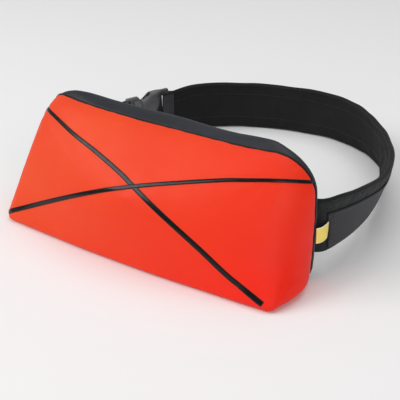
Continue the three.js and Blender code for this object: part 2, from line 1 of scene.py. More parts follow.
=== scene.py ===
# Belt pack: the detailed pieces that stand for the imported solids, with their materials, lights and camera.
# Shapes are worked out in millimetres in the pouch's own axes (X along the pouch, front towards -Y, Z up,
# from under the middle of its front) and turned into metres when a mesh is made.
import math

import bmesh
import bpy
import numpy as np
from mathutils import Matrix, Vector, noise
from mathutils.bvhtree import BVHTree


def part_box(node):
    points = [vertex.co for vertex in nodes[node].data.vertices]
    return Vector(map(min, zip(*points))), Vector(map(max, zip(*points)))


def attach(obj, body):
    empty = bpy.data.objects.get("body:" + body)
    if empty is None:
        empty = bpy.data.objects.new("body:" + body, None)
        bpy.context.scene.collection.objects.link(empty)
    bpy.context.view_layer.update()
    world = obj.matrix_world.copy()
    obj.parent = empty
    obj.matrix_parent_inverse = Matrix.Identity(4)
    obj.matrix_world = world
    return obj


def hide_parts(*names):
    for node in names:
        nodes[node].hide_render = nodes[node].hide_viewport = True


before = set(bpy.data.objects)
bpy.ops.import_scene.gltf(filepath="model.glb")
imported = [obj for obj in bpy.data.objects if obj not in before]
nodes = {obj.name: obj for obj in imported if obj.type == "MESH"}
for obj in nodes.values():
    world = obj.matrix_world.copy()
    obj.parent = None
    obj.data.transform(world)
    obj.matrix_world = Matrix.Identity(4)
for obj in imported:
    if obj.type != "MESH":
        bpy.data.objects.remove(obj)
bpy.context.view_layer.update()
scene = bpy.context.scene

# Pouch
POUCH_LENGTH = 300
POUCH_HEIGHT = 116.5
SEAM_DEPTH = 72
TOP_FORWARD = 16
BACK_DEPTH = 78
LEAN_DEPTH = 50
FRONT_BULGE = 30
END_BULGE = {"left": 5, "right": 9}
GUSSET_RISE = [
    # x, how much higher the back of the top is there than its seam
    (-150, 0),
    (-134, 1.5),
    (-121, 4.5),
    (-103, 5.4),
    (-72, 4.4),
    (-33, 4.4),
    (5, 4.7),
    (43, 3.6),
    (70, 3.9),
    (92, 5.4),
    (109, 5.6),
    (122, 2),
    (136, 0.3),
    (150, 0),
]
TOP_CORNER = {"left": 21, "right": 34}
BOTTOM_CORNER = 9
FRONT_FORWARD = 9
FRONT_FLARE = {"bottom": 9.5, "top": -12}
FRONT_EDGE = {"top": 4, "bottom": 6, "end": 7}
BACK_EDGE = {"top": 6, "bottom": 3, "end": 3}
RIDGE_SHARE = 0.35
BULGE_SKEW = 1.25
GAP = 0.3
PIPING_WIDTH = 2.2
PIPING_OUT = 1
HALF_LENGTH = POUCH_LENGTH / 2
CENTRE_Z = POUCH_HEIGHT / 2

# Belt
PAD_WIDTH = 55
PAD_THICKNESS = 6
PAD_GAP = 0.4
WEBBING_WIDTH = 38
WEBBING_THICKNESS = 1.6
WEBBING_DROP = 4.5
TAB_WIDTH = 15
TAB_THICKNESS = 1.2
TAB_HEIGHT = 43
WEBBING_FROM = 101
PAD_TO = 661
PAD_TAPER = 45
SOCKET_BAR = PAD_TO - 8
BAR_SPACING = 50
BAR_HALF = 2
LOOP = [
    # x, back, middle, lean
    (55, 0, 46, 0),
    (100, 0, 46, 0),
    (130, 0.6, 46, 0),
    (148, 7.6, 45, 4),
    (153.5, 24.6, 44, 8),
    (153.5, 63.6, 40, 15),
    (145.5, 115.6, 33, 22),
    (130, 164.6, 30.5, 17),
    (111, 204.6, 29, 5),
    (90, 238.6, 27.9, -7),
    (63, 264.6, 28, -8),
    (33, 283.6, 27.7, -4),
    (-10, 294.6, 27.5, 0),
    (-64, 285.6, 27.5, 0),
    (-105, 268.6, 27.5, 0),
    (-140, 240.6, 28, 0),
    (-165, 201.6, 29, 0),
    (-181, 168.6, 28, 0),
    (-191, 134.6, 26, 0),
    (-190, 102.6, 28, 0),
    (-179, 64.6, 33, 0),
    (-160, 30.6, 39, 0),
    (-137, 11.1, 44, 0),
    (-112, 4.1, 46, 0),
    (-88, 2.6, 46, 0),
    (-60, 2.2, 46, 0),
]

# The pouch's axes are placed in the frame by two of the solids.
piping_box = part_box("seam_piping")
cover_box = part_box("front_cover")
SHIFT = Vector(
    (
        piping_box[0].x * 1000 + HALF_LENGTH + PIPING_OUT,
        piping_box[1].y * 1000 - SEAM_DEPTH - PIPING_WIDTH / 2,
        cover_box[0].z * 1000,
    )
)


def lerp(a, b, t):
    return a + (b - a) * t


def clamp(value, low=0.0, high=1.0):
    return max(low, min(high, value))


def smoothstep(value, low, high):
    t = clamp((value - low) / (high - low))
    return t * t * (3 - 2 * t)


def metres(point):
    return (Vector(point) + SHIFT) / 1000


# Meshes

def make_piece(name, material, points, faces, uvs=None):
    """A mesh object from points in millimetres; uvs holds a pair in metres for each corner of each face."""
    mesh = bpy.data.meshes.new(name)
    mesh.from_pydata([metres(p) for p in points], [], faces)
    if uvs:
        layer = mesh.uv_layers.new(name="cloth")
        flat = [pair for face in uvs for pair in face]
        layer.data.foreach_set("uv", [value for pair in flat for value in pair])
    mesh.polygons.foreach_set("use_smooth", [True] * len(mesh.polygons))
    mesh.materials.append(material)
    piece = bpy.data.objects.new(name, mesh)
    scene.collection.objects.link(piece)
    return piece


def face_out(piece):
    """Turns every face of a closed piece outwards."""
    edit = bmesh.new()
    edit.from_mesh(piece.data)
    bmesh.ops.recalc_face_normals(edit, faces=edit.faces)
    edit.to_mesh(piece.data)
    edit.free()


def stand_for(piece, node):
    """Hides a solid's own mesh and attaches the piece that stands for it to the root body."""
    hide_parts(node)
    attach(piece, "root")


def distances(points):
    """How far along a line each of its points lies."""
    along = [0.0]
    for a, b in zip(points, points[1:]):
        along.append(along[-1] + (b - a).length)
    return along


def locate(along, target, at=0):
    """The span of a line in which a distance lies, looked for from span at on, and the share of it passed."""
    while at < len(along) - 2 and along[at + 1] < target:
        at += 1
    return at, clamp((target - along[at]) / max(along[at + 1] - along[at], 1e-6))


def loft(rings, closed=True, loop=False, caps=True, end_pole=None):
    """Points, faces and texture coordinates of a surface through rings of equally many points."""
    count = len(rings[0])
    points = [p for ring in rings for p in ring]
    faces = []
    uvs = []
    spans = len(rings) if loop else len(rings) - 1
    steps = count if closed else count - 1
    middles = [sum(ring, Vector()) / count for ring in rings]
    u = distances(middles + middles[:1] if loop else middles)
    v = distances(rings[len(rings) // 2] + [rings[len(rings) // 2][0]])
    for i in range(spans):
        near = i * count
        far = ((i + 1) % len(rings)) * count
        for k in range(steps):
            nxt = (k + 1) % count
            faces.append((near + k, near + nxt, far + nxt, far + k))
            corners = ((u[i], v[k]), (u[i], v[k + 1]), (u[i + 1], v[k + 1]), (u[i + 1], v[k]))
            uvs.append([(a / 1000, b / 1000) for a, b in corners])

    def close_end(first, ring, pole=None):
        points.append(pole if pole is not None else sum(ring, Vector()) / count)
        for k in range(count):
            faces.append((len(points) - 1, first + k, first + (k + 1) % count))
            uvs.append([(0.0, 0.0)] * 3)

    if closed and not loop and caps:
        close_end(0, rings[0])
    if closed and not loop and (caps or end_pole is not None):
        close_end((len(rings) - 1) * count, rings[-1], end_pole)
    return points, faces, uvs


def lofted(name, material, rings, loop=False):
    """A piece whose closed surface runs through rings."""
    piece = make_piece(name, material, *loft(rings, loop=loop))
    face_out(piece)
    return piece


def catmull_rom(a, b, c, d, t):
    return tuple(
        0.5 * (2 * q + (r - p) * t + (2 * p - 5 * q + 4 * r - s) * t**2 + (3 * q - p - 3 * r + s) * t**3)
        for p, q, r, s in zip(a, b, c, d)
    )


def spline(rows, steps):
    """Points of a smooth line through rows, with steps points to each span."""
    spots = []
    for i in range(len(rows) - 1):
        before = rows[max(i - 1, 0)]
        after = rows[min(i + 2, len(rows) - 1)]
        for k in range(steps):
            spots.append(catmull_rom(before, rows[i], rows[i + 1], after, k / steps))
    return spots + [tuple(rows[-1])]


def resample(points, pitch):
    """Evenly spaced points along a polyline, about pitch apart, both ends kept."""
    along = distances(points)
    count = max(2, round(along[-1] / pitch) + 1)
    out = []
    at = 0
    for i in range(count):
        at, share = locate(along, along[-1] * i / (count - 1), at)
        out.append(points[at].lerp(points[at + 1], share))
    return out


# Materials

class Nodes:
    """Short names for the nodes of one material."""

    def __init__(self, name):
        self.material = bpy.data.materials.new(name)
        self.material.use_nodes = True
        self.tree = self.material.node_tree
        self.shader = self.tree.nodes["Principled BSDF"]

    def add(self, kind, inputs=None, **settings):
        node = self.tree.nodes.new(kind)
        for key, value in settings.items():
            setattr(node, key, value)
        for key, value in (inputs or {}).items():
            self.feed(node.inputs[key], value)
        return node

    def feed(self, socket, value):
        if isinstance(value, bpy.types.NodeSocket):
            self.tree.links.new(value, socket)
        else:
            socket.default_value = value

    def math(self, operation, a, b=0.0, c=0.0):
        node = self.add("ShaderNodeMath", operation=operation)
        for socket, value in zip(node.inputs, (a, b, c)):
            self.feed(socket, value)
        return node.outputs[0]

    def mix(self, share, a, b):
        node = self.add("ShaderNodeMix", data_type="RGBA")
        self.feed(node.inputs["Factor"], share)
        self.feed(node.inputs["A"], a)
        self.feed(node.inputs["B"], b)
        return node.outputs["Result"]

    def spread(self, value, low, high, to_low=0.0, to_high=1.0):
        node = self.add("ShaderNodeMapRange")
        keys = ("Value", "From Min", "From Max", "To Min", "To Max")
        for key, given in zip(keys, (value, low, high, to_low, to_high)):
            self.feed(node.inputs[key], given)
        return node.outputs["Result"]

    def noise(self, place, scale, detail=2.0, rough=0.5):
        inputs = {"Vector": place, "Scale": scale, "Detail": detail, "Roughness": rough}
        return self.add("ShaderNodeTexNoise", inputs).outputs["Fac"]

    def place(self, kind="Object"):
        return self.add("ShaderNodeTexCoord").outputs[kind]

    def split(self, vector):
        return self.add("ShaderNodeSeparateXYZ", {"Vector": vector}).outputs

    def pointiness(self):
        return self.add("ShaderNodeNewGeometry").outputs["Pointiness"]

    def bump(self, height, strength, distance):
        inputs = {"Height": height, "Strength": strength, "Distance": distance}
        return self.add("ShaderNodeBump", inputs).outputs["Normal"]

    def surface(self, inputs):
        """Sets or links the shader's inputs and gives the material."""
        for key, value in inputs.items():
            self.feed(self.shader.inputs[key], value)
        return self.material


def linear(*shown):
    """A colour given as it shows on screen, 0 to 255, as the shader takes it."""
    shares = [c / 255 for c in shown]
    return (*(c / 12.92 if c <= 0.04045 else ((c + 0.055) / 1.055) ** 2.4 for c in shares), 1.0)


def ripple(n, value, pitch):
    """A wave from 0 to 1 along a coordinate in metres, one wave each pitch metres."""
    wave = n.math("SINE", n.math("MULTIPLY", value, 2 * math.pi / pitch))
    return n.math("MULTIPLY_ADD", wave, 0.5, 0.5)


def coated_cloth(name, color, shade, rough, weave=0.0009, sheen=0.05, grain=0.25, painted_shade=None, gloss=0.5):
    """Smooth coated cloth: a fine square weave under a film, faint blotches and paler worn edges.

    A last colour, when given, is painted in towards the right end and the bottom as painted shade: darker and
    redder where less light falls.
    """
    n = Nodes(name)
    place = n.place()
    x, y, z = n.split(place)
    warp = ripple(n, n.math("ADD", x, n.math("MULTIPLY", y, 0.37)), weave)
    weft = ripple(n, n.math("ADD", z, n.math("MULTIPLY", y, 0.61)), weave)
    threads = n.math("MULTIPLY", warp, weft)
    blotch = n.noise(place, 14.0, 3.0)
    fine = n.noise(place, 700.0, 2.0)
    base = n.mix(n.spread(blotch, 0.35, 0.7), color, shade)
    if painted_shade is not None:
        # Painted shade: the colour turns darker and redder towards the right end and the bottom, where less
        # light falls.
        far = n.spread(n.math("ADD", x, n.math("MULTIPLY", z, -0.9)), -0.14, 0.15)
        base = n.mix(far, base, painted_shade)
    worn = n.spread(n.pointiness(), 0.52, 0.6, 0.0, 0.12)
    pale = (*(min(1.0, c * 1.12 + 0.015) for c in color[:3]), 1.0)
    height = n.math("ADD", threads, n.math("MULTIPLY", fine, 0.8))
    return n.surface({
        "Base Color": n.mix(worn, base, pale),
        "Roughness": n.spread(n.noise(place, 60.0), 0.3, 0.7, rough - 0.05, rough + 0.07),
        "Specular IOR Level": gloss,
        "Sheen Weight": sheen,
        "Sheen Roughness": 0.4,
        "Normal": n.bump(height, grain, 0.0001),
    })


def webbing_cloth(name, color, shade, rough, rib=0.0022, pick=0.0016, edge=None, edge_at=None):
    """Woven strap: ribs along it crossed by picks, from the strap's own coordinates.

    edge is the colour of its two edges; edge_at gives the middle of its face and half its width there.
    """
    n = Nodes(name)
    u, v, _ = n.split(n.place("UV"))
    place = n.place()
    skew = n.math("ADD", u, n.math("MULTIPLY", ripple(n, v, rib), rib / 2))
    picks = ripple(n, skew, pick)
    ribs = ripple(n, v, rib)
    weave = n.math("MULTIPLY", picks, n.math("MULTIPLY_ADD", ribs, 0.6, 0.4))
    base = n.mix(weave, shade, color)
    base = n.mix(n.spread(n.noise(place, 22.0, 3.0), 0.35, 0.75, 0.0, 0.35), base, shade)
    if edge is not None:
        middle, half = edge_at
        across = n.math("ABSOLUTE", n.math("SUBTRACT", v, middle))
        base = n.mix(n.spread(across, half - 0.0012, half - 0.0004), base, edge)
    height = n.math("ADD", weave, n.math("MULTIPLY", n.noise(place, 900.0), 0.4))
    return n.surface({
        "Base Color": base,
        "Roughness": rough,
        "Specular IOR Level": 0.3,
        "Sheen Weight": 0.05,
        "Sheen Roughness": 0.5,
        "Normal": n.bump(height, 0.6, 0.00025),
    })


def air_mesh(name, color, hole):
    """Spacer mesh: small dark cells in staggered rows in a soft knitted face."""
    n = Nodes(name)
    cells = n.add("ShaderNodeTexVoronoi", {"Vector": n.place("UV"), "Scale": 420.0, "Randomness": 0.35})
    open_cell = n.spread(cells.outputs["Distance"], 0.12, 0.42)
    place = n.place()
    base = n.mix(open_cell, hole, color)
    height = n.math("ADD", open_cell, n.math("MULTIPLY", n.noise(place, 1200.0), 0.3))
    return n.surface({
        "Base Color": n.mix(n.spread(n.noise(place, 30.0, 3.0), 0.35, 0.7, 0.0, 0.4), base, hole),
        "Roughness": 0.85,
        "Specular IOR Level": 0.3,
        "Sheen Weight": 0.05,
        "Normal": n.bump(height, 0.7, 0.0004),
    })


def knit_cloth(name, color, shade, rough=0.85):
    """Fine brushed lining cloth with faint rubbed patches."""
    n = Nodes(name)
    place = n.place()
    fine = n.noise(place, 1100.0, 2.0)
    rubbed = n.noise(place, 26.0, 4.0, 0.6)
    base = n.mix(n.spread(rubbed, 0.35, 0.7), shade, color)
    return n.surface({
        "Base Color": n.mix(n.math("MULTIPLY", fine, 0.4), base, shade),
        "Roughness": n.spread(rubbed, 0.3, 0.7, rough - 0.06, rough + 0.08),
        "Specular IOR Level": 0.25,
        "Sheen Weight": 0.02,
        "Sheen Roughness": 0.5,
        "Normal": n.bump(fine, 0.45, 0.0002),
    })


def gloss_film(name, color, dusty, rough, gloss):
    """Thin glossy tape, scuffed and a little dusty in places."""
    n = Nodes(name)
    place = n.place()
    scuff = n.noise(place, 240.0, 3.0)
    return n.surface({
        "Base Color": n.mix(n.spread(n.noise(place, 40.0), 0.4, 0.8, 0.0, 0.5), color, dusty),
        "Roughness": n.spread(scuff, 0.3, 0.7, rough - 0.04, rough + 0.08),
        "Specular IOR Level": gloss,
        "Normal": n.bump(scuff, 0.15, 0.0001),
    })


def moulded_plastic(name, color, worn, rough=0.36):
    """Moulded nylon: fine spark-eroded grain and paler rubbed edges."""
    n = Nodes(name)
    place = n.place()
    grain = n.noise(place, 1500.0, 2.0)
    edge = n.spread(n.pointiness(), 0.51, 0.58)
    base = n.mix(n.math("MULTIPLY", edge, 0.6), color, worn)
    return n.surface({
        "Base Color": n.mix(n.spread(n.noise(place, 70.0, 3.0), 0.4, 0.8, 0.0, 0.3), base, worn),
        "Roughness": n.spread(n.noise(place, 160.0), 0.3, 0.7, rough - 0.05, rough + 0.1),
        "Normal": n.bump(grain, 0.25, 0.00012),
    })


def thread_cloth(name, color):
    """Sewing thread, twisted along its length."""
    n = Nodes(name)
    twist = n.noise(n.place(), 1800.0, 1.0)
    shade = (*(c * 0.55 for c in color[:3]), 1.0)
    return n.surface({
        "Base Color": n.mix(n.spread(twist, 0.3, 0.7), shade, color),
        "Roughness": 0.6,
        "Sheen Weight": 0.2,
        "Normal": n.bump(twist, 0.4, 0.0001),
    })


RED = coated_cloth(
    "red_cloth",
    linear(241, 76, 32),
    linear(237, 70, 30),
    0.48,
    # painted shade: a darker, redder colour towards the right end and the bottom
    painted_shade=linear(246, 38, 18),
    gloss=0.22,
    sheen=0.01,
)
NAVY = coated_cloth("navy_cloth", linear(34, 37, 46), linear(27, 30, 38), 0.4, gloss=0.4)
PIPING = webbing_cloth("piping_cloth", linear(14, 12, 13), linear(7, 6, 7), 0.55, rib=0.0008, pick=0.0008)
FILM = gloss_film("black_film", linear(5, 4, 4), linear(18, 14, 12), 0.2, 0.3)
LINING = knit_cloth("belt_lining", linear(34, 34, 36), linear(22, 22, 24))
END_CLOTH = knit_cloth("belt_end_cloth", linear(68, 67, 72), linear(52, 51, 56))
MESH = air_mesh("air_mesh", linear(42, 46, 47), linear(15, 16, 17))
BINDING = webbing_cloth("binding_tape", linear(22, 22, 24), linear(11, 11, 12), 0.75, rib=0.0012, pick=0.0012)
WEBBING = webbing_cloth("grey_webbing", linear(58, 57, 64), linear(42, 41, 47), 0.68)
STRAP = webbing_cloth("black_webbing", linear(58, 58, 61), linear(34, 34, 36), 0.62)
YELLOW = webbing_cloth(
    "yellow_webbing",
    linear(255, 238, 132),
    linear(255, 226, 108),
    0.6,
    rib=0.0016,
    pick=0.0014,
    edge=linear(255, 246, 214),
    edge_at=(0.0233, 0.0076),
)
PLASTIC = moulded_plastic("buckle_plastic", linear(56, 56, 58), linear(120, 120, 122))
THREAD = thread_cloth("black_thread", linear(30, 30, 32))
GREY_THREAD = thread_cloth("grey_thread", linear(92, 92, 98))


# Pouch

END_SWELL = 2.4  # how far the soft right end stands out at half its height


def end_swell(z):
    """How far the right end stands out at a height."""
    return END_SWELL * math.sin(math.pi * clamp(z / POUCH_HEIGHT))


def pouch_outline(pitch):
    """Outline seen from the front, counter-clockwise: rows of x, z and the outward normal nx, nz."""
    corners = [
        (1, BOTTOM_CORNER, BOTTOM_CORNER, -90),
        (1, TOP_CORNER["right"], POUCH_HEIGHT - TOP_CORNER["right"], 0),
        (-1, TOP_CORNER["left"], POUCH_HEIGHT - TOP_CORNER["left"], 90),
        (-1, BOTTOM_CORNER, BOTTOM_CORNER, 180),
    ]

    def at(corner, angle):
        side, radius, z, start = corner
        turn = math.radians(start + angle)
        nx, nz = math.cos(turn), math.sin(turn)
        return side * (HALF_LENGTH - radius) + radius * nx, z + radius * nz, nx, nz

    def swollen(row):
        x, z, nx, nz = row
        return x + end_swell(z) * max(nx, 0.0), z, nx, nz

    rows = []
    for i, corner in enumerate(corners):
        arc_steps = max(6, round(corner[1] * math.pi / 2 / pitch))
        arc = [at(corner, 90 * k / arc_steps) for k in range(arc_steps + 1)]
        start = arc[-1]
        end = at(corners[(i + 1) % 4], 0)
        steps = round(math.hypot(end[0] - start[0], end[1] - start[1]) / pitch)
        for k in range(1, steps):
            x, z = (lerp(a, b, k / steps) for a, b in zip(start[:2], end[:2]))
            arc.append((x, z, *start[2:]))
        rows += arc
    return [swollen(row) for row in rows]


def edge_radius(nx, nz, edge):
    """Radius of a rounded edge where the outline faces nx, nz."""
    return edge["end"] * nx**2 + (edge["top"] if nz > 0 else edge["bottom"]) * nz**2


def seam_depth(x, z):
    """How far back the seam lies: further forward along the middle of the top."""
    if z < POUCH_HEIGHT / 2:
        return SEAM_DEPTH
    return SEAM_DEPTH - TOP_FORWARD * (1 - abs(x / HALF_LENGTH) ** 3.5)


def front_depth(x, z):
    """How far back the front lies: it leans, bulges as a pillow with a ridge, and has its foot forward."""
    along = min(abs(x / HALF_LENGTH), 1)
    up = clamp(z / POUCH_HEIGHT)
    across = abs(2 * up**BULGE_SKEW - 1)
    pillow = (1 - along**2.2) * (1 - across**2)
    pyramid = max(1 - (along**3 + across**3) ** (1 / 3), 0)
    foot = -FRONT_FORWARD * (1 - 0.5 * along**2) * (1 - up)
    return foot + LEAN_DEPTH * up - FRONT_BULGE * ((1 - RIDGE_SHARE) * pillow + RIDGE_SHARE * pyramid)


def flared(x, y, z, share):
    """A place of the front, spread towards the bottom and drawn in towards the top by a share."""
    flare = lerp(FRONT_FLARE["bottom"], FRONT_FLARE["top"], z / POUCH_HEIGHT)
    return Vector((x * (1 + share * flare / HALF_LENGTH), y, z))


def gusset_rise(x):
    """The table's value at x, on a smooth line through its rows."""
    x = clamp(x, -HALF_LENGTH, HALF_LENGTH)
    i = next(i for i in range(1, len(GUSSET_RISE)) if x <= GUSSET_RISE[i][0])
    a, b = GUSSET_RISE[i - 1], GUSSET_RISE[i]
    before = GUSSET_RISE[max(i - 2, 0)]
    after = GUSSET_RISE[min(i + 1, len(GUSSET_RISE) - 1)]
    return max(0.0, catmull_rom(before, a, b, after, (x - a[0]) / (b[0] - a[0]))[1])


SEAM_HALF = PIPING_WIDTH / 2 + 0.1
LIP = 3  # how far each half's cloth turns in behind the piping
OUTLINE = pouch_outline(2.6)
SIDE_STEPS = 16
FRONT_EDGE_STEPS = 7
FACE_STEPS = 34


def front_rings():
    """Rings of the red front from its seam over the sides and the rounded edge in to its middle."""

    def edge(row):
        """The rounded edge's radius at a row of the outline, and the front's depth where the edge ends."""
        x, z, nx, nz = row
        radius = edge_radius(nx, nz, FRONT_EDGE)
        return radius, front_depth(x - nx * radius, z - nz * radius)

    def on_side(row, share):
        x, z, nx, nz = row
        radius, depth = edge(row)
        bulge = END_BULGE["right"] if nx > 0 else END_BULGE["left"]
        out = bulge * math.sin(math.pi * share) * abs(nx)
        y = lerp(seam_depth(x, z) - SEAM_HALF, depth + radius, share)
        return flared(x + nx * out, y, z, share)

    def on_edge(row, turn):
        x, z, nx, nz = row
        radius, depth = edge(row)
        inset = radius * (1 - math.cos(turn))
        return flared(x - nx * inset, depth + radius * (1 - math.sin(turn)), z - nz * inset, 1)

    def on_face(row, share):
        x, z, nx, nz = row
        radius = edge_radius(nx, nz, FRONT_EDGE)
        px = (x - nx * radius) * share
        pz = CENTRE_Z + (z - nz * radius - CENTRE_Z) * share
        return flared(px, front_depth(px, pz), pz, 1)

    rings = [[Vector((x - nx * LIP, seam_depth(x, z) - SEAM_HALF, z - nz * LIP)) for x, z, nx, nz in OUTLINE]]
    for i in range(SIDE_STEPS):
        rings.append([on_side(row, i / SIDE_STEPS) for row in OUTLINE])
    for i in range(FRONT_EDGE_STEPS + 1):
        rings.append([on_edge(row, math.pi / 2 * i / FRONT_EDGE_STEPS) for row in OUTLINE])
    for i in range(FACE_STEPS - 1, 0, -1):
        rings.append([on_face(row, i / FACE_STEPS) for row in OUTLINE])
    return relaxed(rings, 1 + SIDE_STEPS), Vector((0, front_depth(0, CENTRE_Z), CENTRE_Z))


RELAX_ROUNDS = 90


def relaxed(rings, first_edge):
    """The rings with the edge between side and front drawn out wide along the top and the right end."""
    grid = np.array([[tuple(p) for p in ring] for ring in rings])
    across = []
    for i in range(len(rings)):
        past = smoothstep(i, first_edge + 14, first_edge + 30)
        across.append(smoothstep(i, 2, first_edge - 6) * (1 - past))
    along = []
    for x, z, nx, nz in OUTLINE:
        end = max(nx, 0.0) * smoothstep(z, 4, 40)
        left = max(-nx, 0.0) * 0.12
        along.append(clamp(max(nz, 0.0) + end + left))
    amount = np.array(across)[:, None, None] * np.array(along)[None, :, None]
    for _ in range(RELAX_ROUNDS):
        middle = grid.copy()
        middle[1:-1] = (grid[2:] + grid[:-2]) / 2
        grid += amount * (middle - grid)
    return [[Vector(p) for p in ring] for ring in grid]


GUSSET_STEPS = 9
BACK_EDGE_STEPS = 6
BACK_STEPS = 24


def back_rings():
    """Rings of the dark back half from the seam over the gusset and the edge in to the middle of the back."""

    def spot(row, inset, y, lift):
        x, z, nx, nz = row
        rise = nz * gusset_rise(x) if nz > 0 else 0
        return Vector((x - nx * inset, y, z - nz * inset + lift * rise))

    def on_gusset(row, share):
        x, z, nx, nz = row
        far = BACK_DEPTH - edge_radius(nx, nz, BACK_EDGE)
        y = lerp(seam_depth(x, z) + SEAM_HALF, far, share)
        return spot(row, 0, y, math.sin(math.pi / 2 * share))

    def on_edge(row, turn):
        radius = edge_radius(row[2], row[3], BACK_EDGE)
        return spot(row, radius * (1 - math.cos(turn)), BACK_DEPTH - radius * (1 - math.sin(turn)), 1)

    rings = [[spot(row, LIP, seam_depth(row[0], row[1]) + SEAM_HALF, 0) for row in OUTLINE]]
    for i in range(GUSSET_STEPS):
        rings.append([on_gusset(row, i / GUSSET_STEPS) for row in OUTLINE])
    for i in range(BACK_EDGE_STEPS + 1):
        rings.append([on_edge(row, math.pi / 2 * i / BACK_EDGE_STEPS) for row in OUTLINE])
    edge = rings[-1]
    for i in range(BACK_STEPS - 1, 0, -1):
        share = i / BACK_STEPS
        rings.append([Vector((p.x * share, BACK_DEPTH, lerp(CENTRE_Z, p.z, share))) for p in edge])
    return rings, Vector((0, BACK_DEPTH, CENTRE_Z))


def soften(piece, amount_at):
    """Moves each vertex along its normal by amount_at(place in millimetres, normal), in millimetres."""
    mesh = piece.data
    normals = [v.normal.copy() for v in mesh.vertices]
    for vertex, normal in zip(mesh.vertices, normals):
        place = vertex.co * 1000 - SHIFT
        vertex.co += normal * (amount_at(place, normal) / 1000)
    mesh.update()


def wave(place, size, seed):
    """Smooth unevenness from about -1 to 1 with swells about size millimetres long."""
    return noise.noise(place / size + Vector((seed, seed * 1.7, -seed)))


def corner_folds(place, corner, count, reach, seed):
    """Folds that run out from a corner and die away over reach."""
    offset = Vector((place.x - corner[0], 0, place.z - corner[1]))
    away = offset.length
    if away > reach * 2.2:
        return 0.0
    angle = math.atan2(offset.z, offset.x)
    ridge = math.sin(count * angle + 2.5 * wave(place, 40, seed))
    return ridge * smoothstep(away, 3, 12) * math.exp(-((away / reach) ** 2))


FRONT_CORNERS = [(-154, 6), (154, 6), (-138, 104), (128, 104)]
FOLDS = 9  # in a whole turn round a corner
FOLD_REACH = 30
FOLD_HEIGHT = 0.35
LOW = 6  # under this height the cloth gets flatter, for the bottom to stand flat
SOFTNESS = {
    # height, size and seed of the swells
    "front": (0.55, 62, 3.1),
    "front, small": (0.22, 24, 8.4),
    "front seam": (0.6, 9, 5.2),
    "bottom edge": (0.25, 8, 6.6),
    "back": (0.35, 48, 12.2),
    "back seam": (0.35, 10, 15.2),
    "lining": (0.55, 11, 21.4),
    "pad": (0.4, 30, 9.4),
}


def swell(place, kind):
    """How far one kind of unevenness moves the cloth out at a place."""
    height, size, seed = SOFTNESS[kind]
    return height * wave(place, size, seed)


def front_softness(place, normal):
    """Small uneven swells, puckers along the seam and the bottom edge, and folds from the corners."""
    amount = swell(place, "front") + swell(place, "front, small")
    if normal.y < 0.2:
        for i, corner in enumerate(FRONT_CORNERS):
            amount += FOLD_HEIGHT * corner_folds(place, corner, FOLDS, FOLD_REACH, i + 1.0)
    to_seam = seam_depth(place.x, place.z) - place.y
    if -5 < to_seam < 22:
        amount += swell(Vector((place.x, 0, place.z)), "front seam") * math.exp(-max(to_seam, 0) / 8)
    low_edge = math.hypot(place.z - 2, (place.y + 6) * 0.6)
    amount += swell(Vector((place.x, 0, 0)), "bottom edge") * math.exp(-((low_edge / 9) ** 2))
    return amount * clamp(place.z / LOW)


def back_softness(place, normal):
    """Faint swells and puckers along the seam, hardly any on the flat bottom and back."""
    from_seam = place.y - seam_depth(place.x, place.z)
    pucker = swell(Vector((place.x, 0, place.z)), "back seam") * math.exp(-abs(from_seam) / 7)
    flat = place.z < LOW or normal.y > 0.9
    return (swell(place, "back") + pucker) * (0.15 if flat else 1)


def smoothed(piece):
    smooth = piece.modifiers.new("smooth", "SUBSURF")
    smooth.levels = smooth.render_levels = 1


def outward(piece):
    """Whether the piece's faces point away from the middle of the pouch."""
    middle = metres((0, SEAM_DEPTH / 2, CENTRE_Z))
    return sum((p.center - middle).dot(p.normal) * p.area for p in piece.data.polygons) > 0


def bowl(name, material, rings, pole, softness, node):
    """One half of the pouch: an open bowl of cloth round its pole."""
    piece = make_piece(name, material, *loft(rings, caps=False, end_pole=pole)[:2])
    face_out(piece)
    soften(piece, softness)
    smoothed(piece)
    stand_for(piece, node)
    if not outward(piece):
        piece.data.flip_normals()
    return piece


pouch_front = bowl("pouch_front", RED, *front_rings(), front_softness, "front_cover")
bowl("pouch_back", NAVY, *back_rings(), back_softness, "back_shell")


# Seam piping

CORD_OUT = 1.5  # half its height over the seam
CORD_SIDE = 1.35  # half its width along the seam's depth
CORD_SUNK = 0.55  # how far its middle lies inside the outline
CORD_LIFT = 0.95  # how far it is drawn up into the flat bottom
CORD_POINTS = 12


def cord_rings():
    rings = []
    for x, z, nx, nz in OUTLINE:
        ring = []
        lift = max(0.0, -nz) * CORD_LIFT
        for k in range(CORD_POINTS):
            turn = 2 * math.pi * k / CORD_POINTS
            out = CORD_OUT * math.sin(turn) - CORD_SUNK
            side = CORD_SIDE * math.cos(turn)
            ring.append(Vector((x + nx * out, seam_depth(x, z) + side, z + nz * (out - lift))))
        rings.append(ring)
    return rings


stand_for(lofted("seam_cord", PIPING, cord_rings(), loop=True), "seam_piping")


# Crossed tapes, laid on the front

class Skin:
    """The surface of a piece, in millimetres, for laying other pieces on it."""

    def __init__(self, piece):
        mesh = piece.data
        points = [v.co * 1000 - SHIFT for v in mesh.vertices]
        self.tree = BVHTree.FromPolygons(points, [tuple(p.vertices) for p in mesh.polygons])

    def nearest(self, point):
        place, normal, _, _ = self.tree.find_nearest(point)
        return place, normal

    def from_front(self, x, z):
        """The place that is seen from the front at x and z."""
        well_in_front = -80
        return self.tree.ray_cast(Vector((x, well_in_front, z)), Vector((0, 1, 0)))[0]


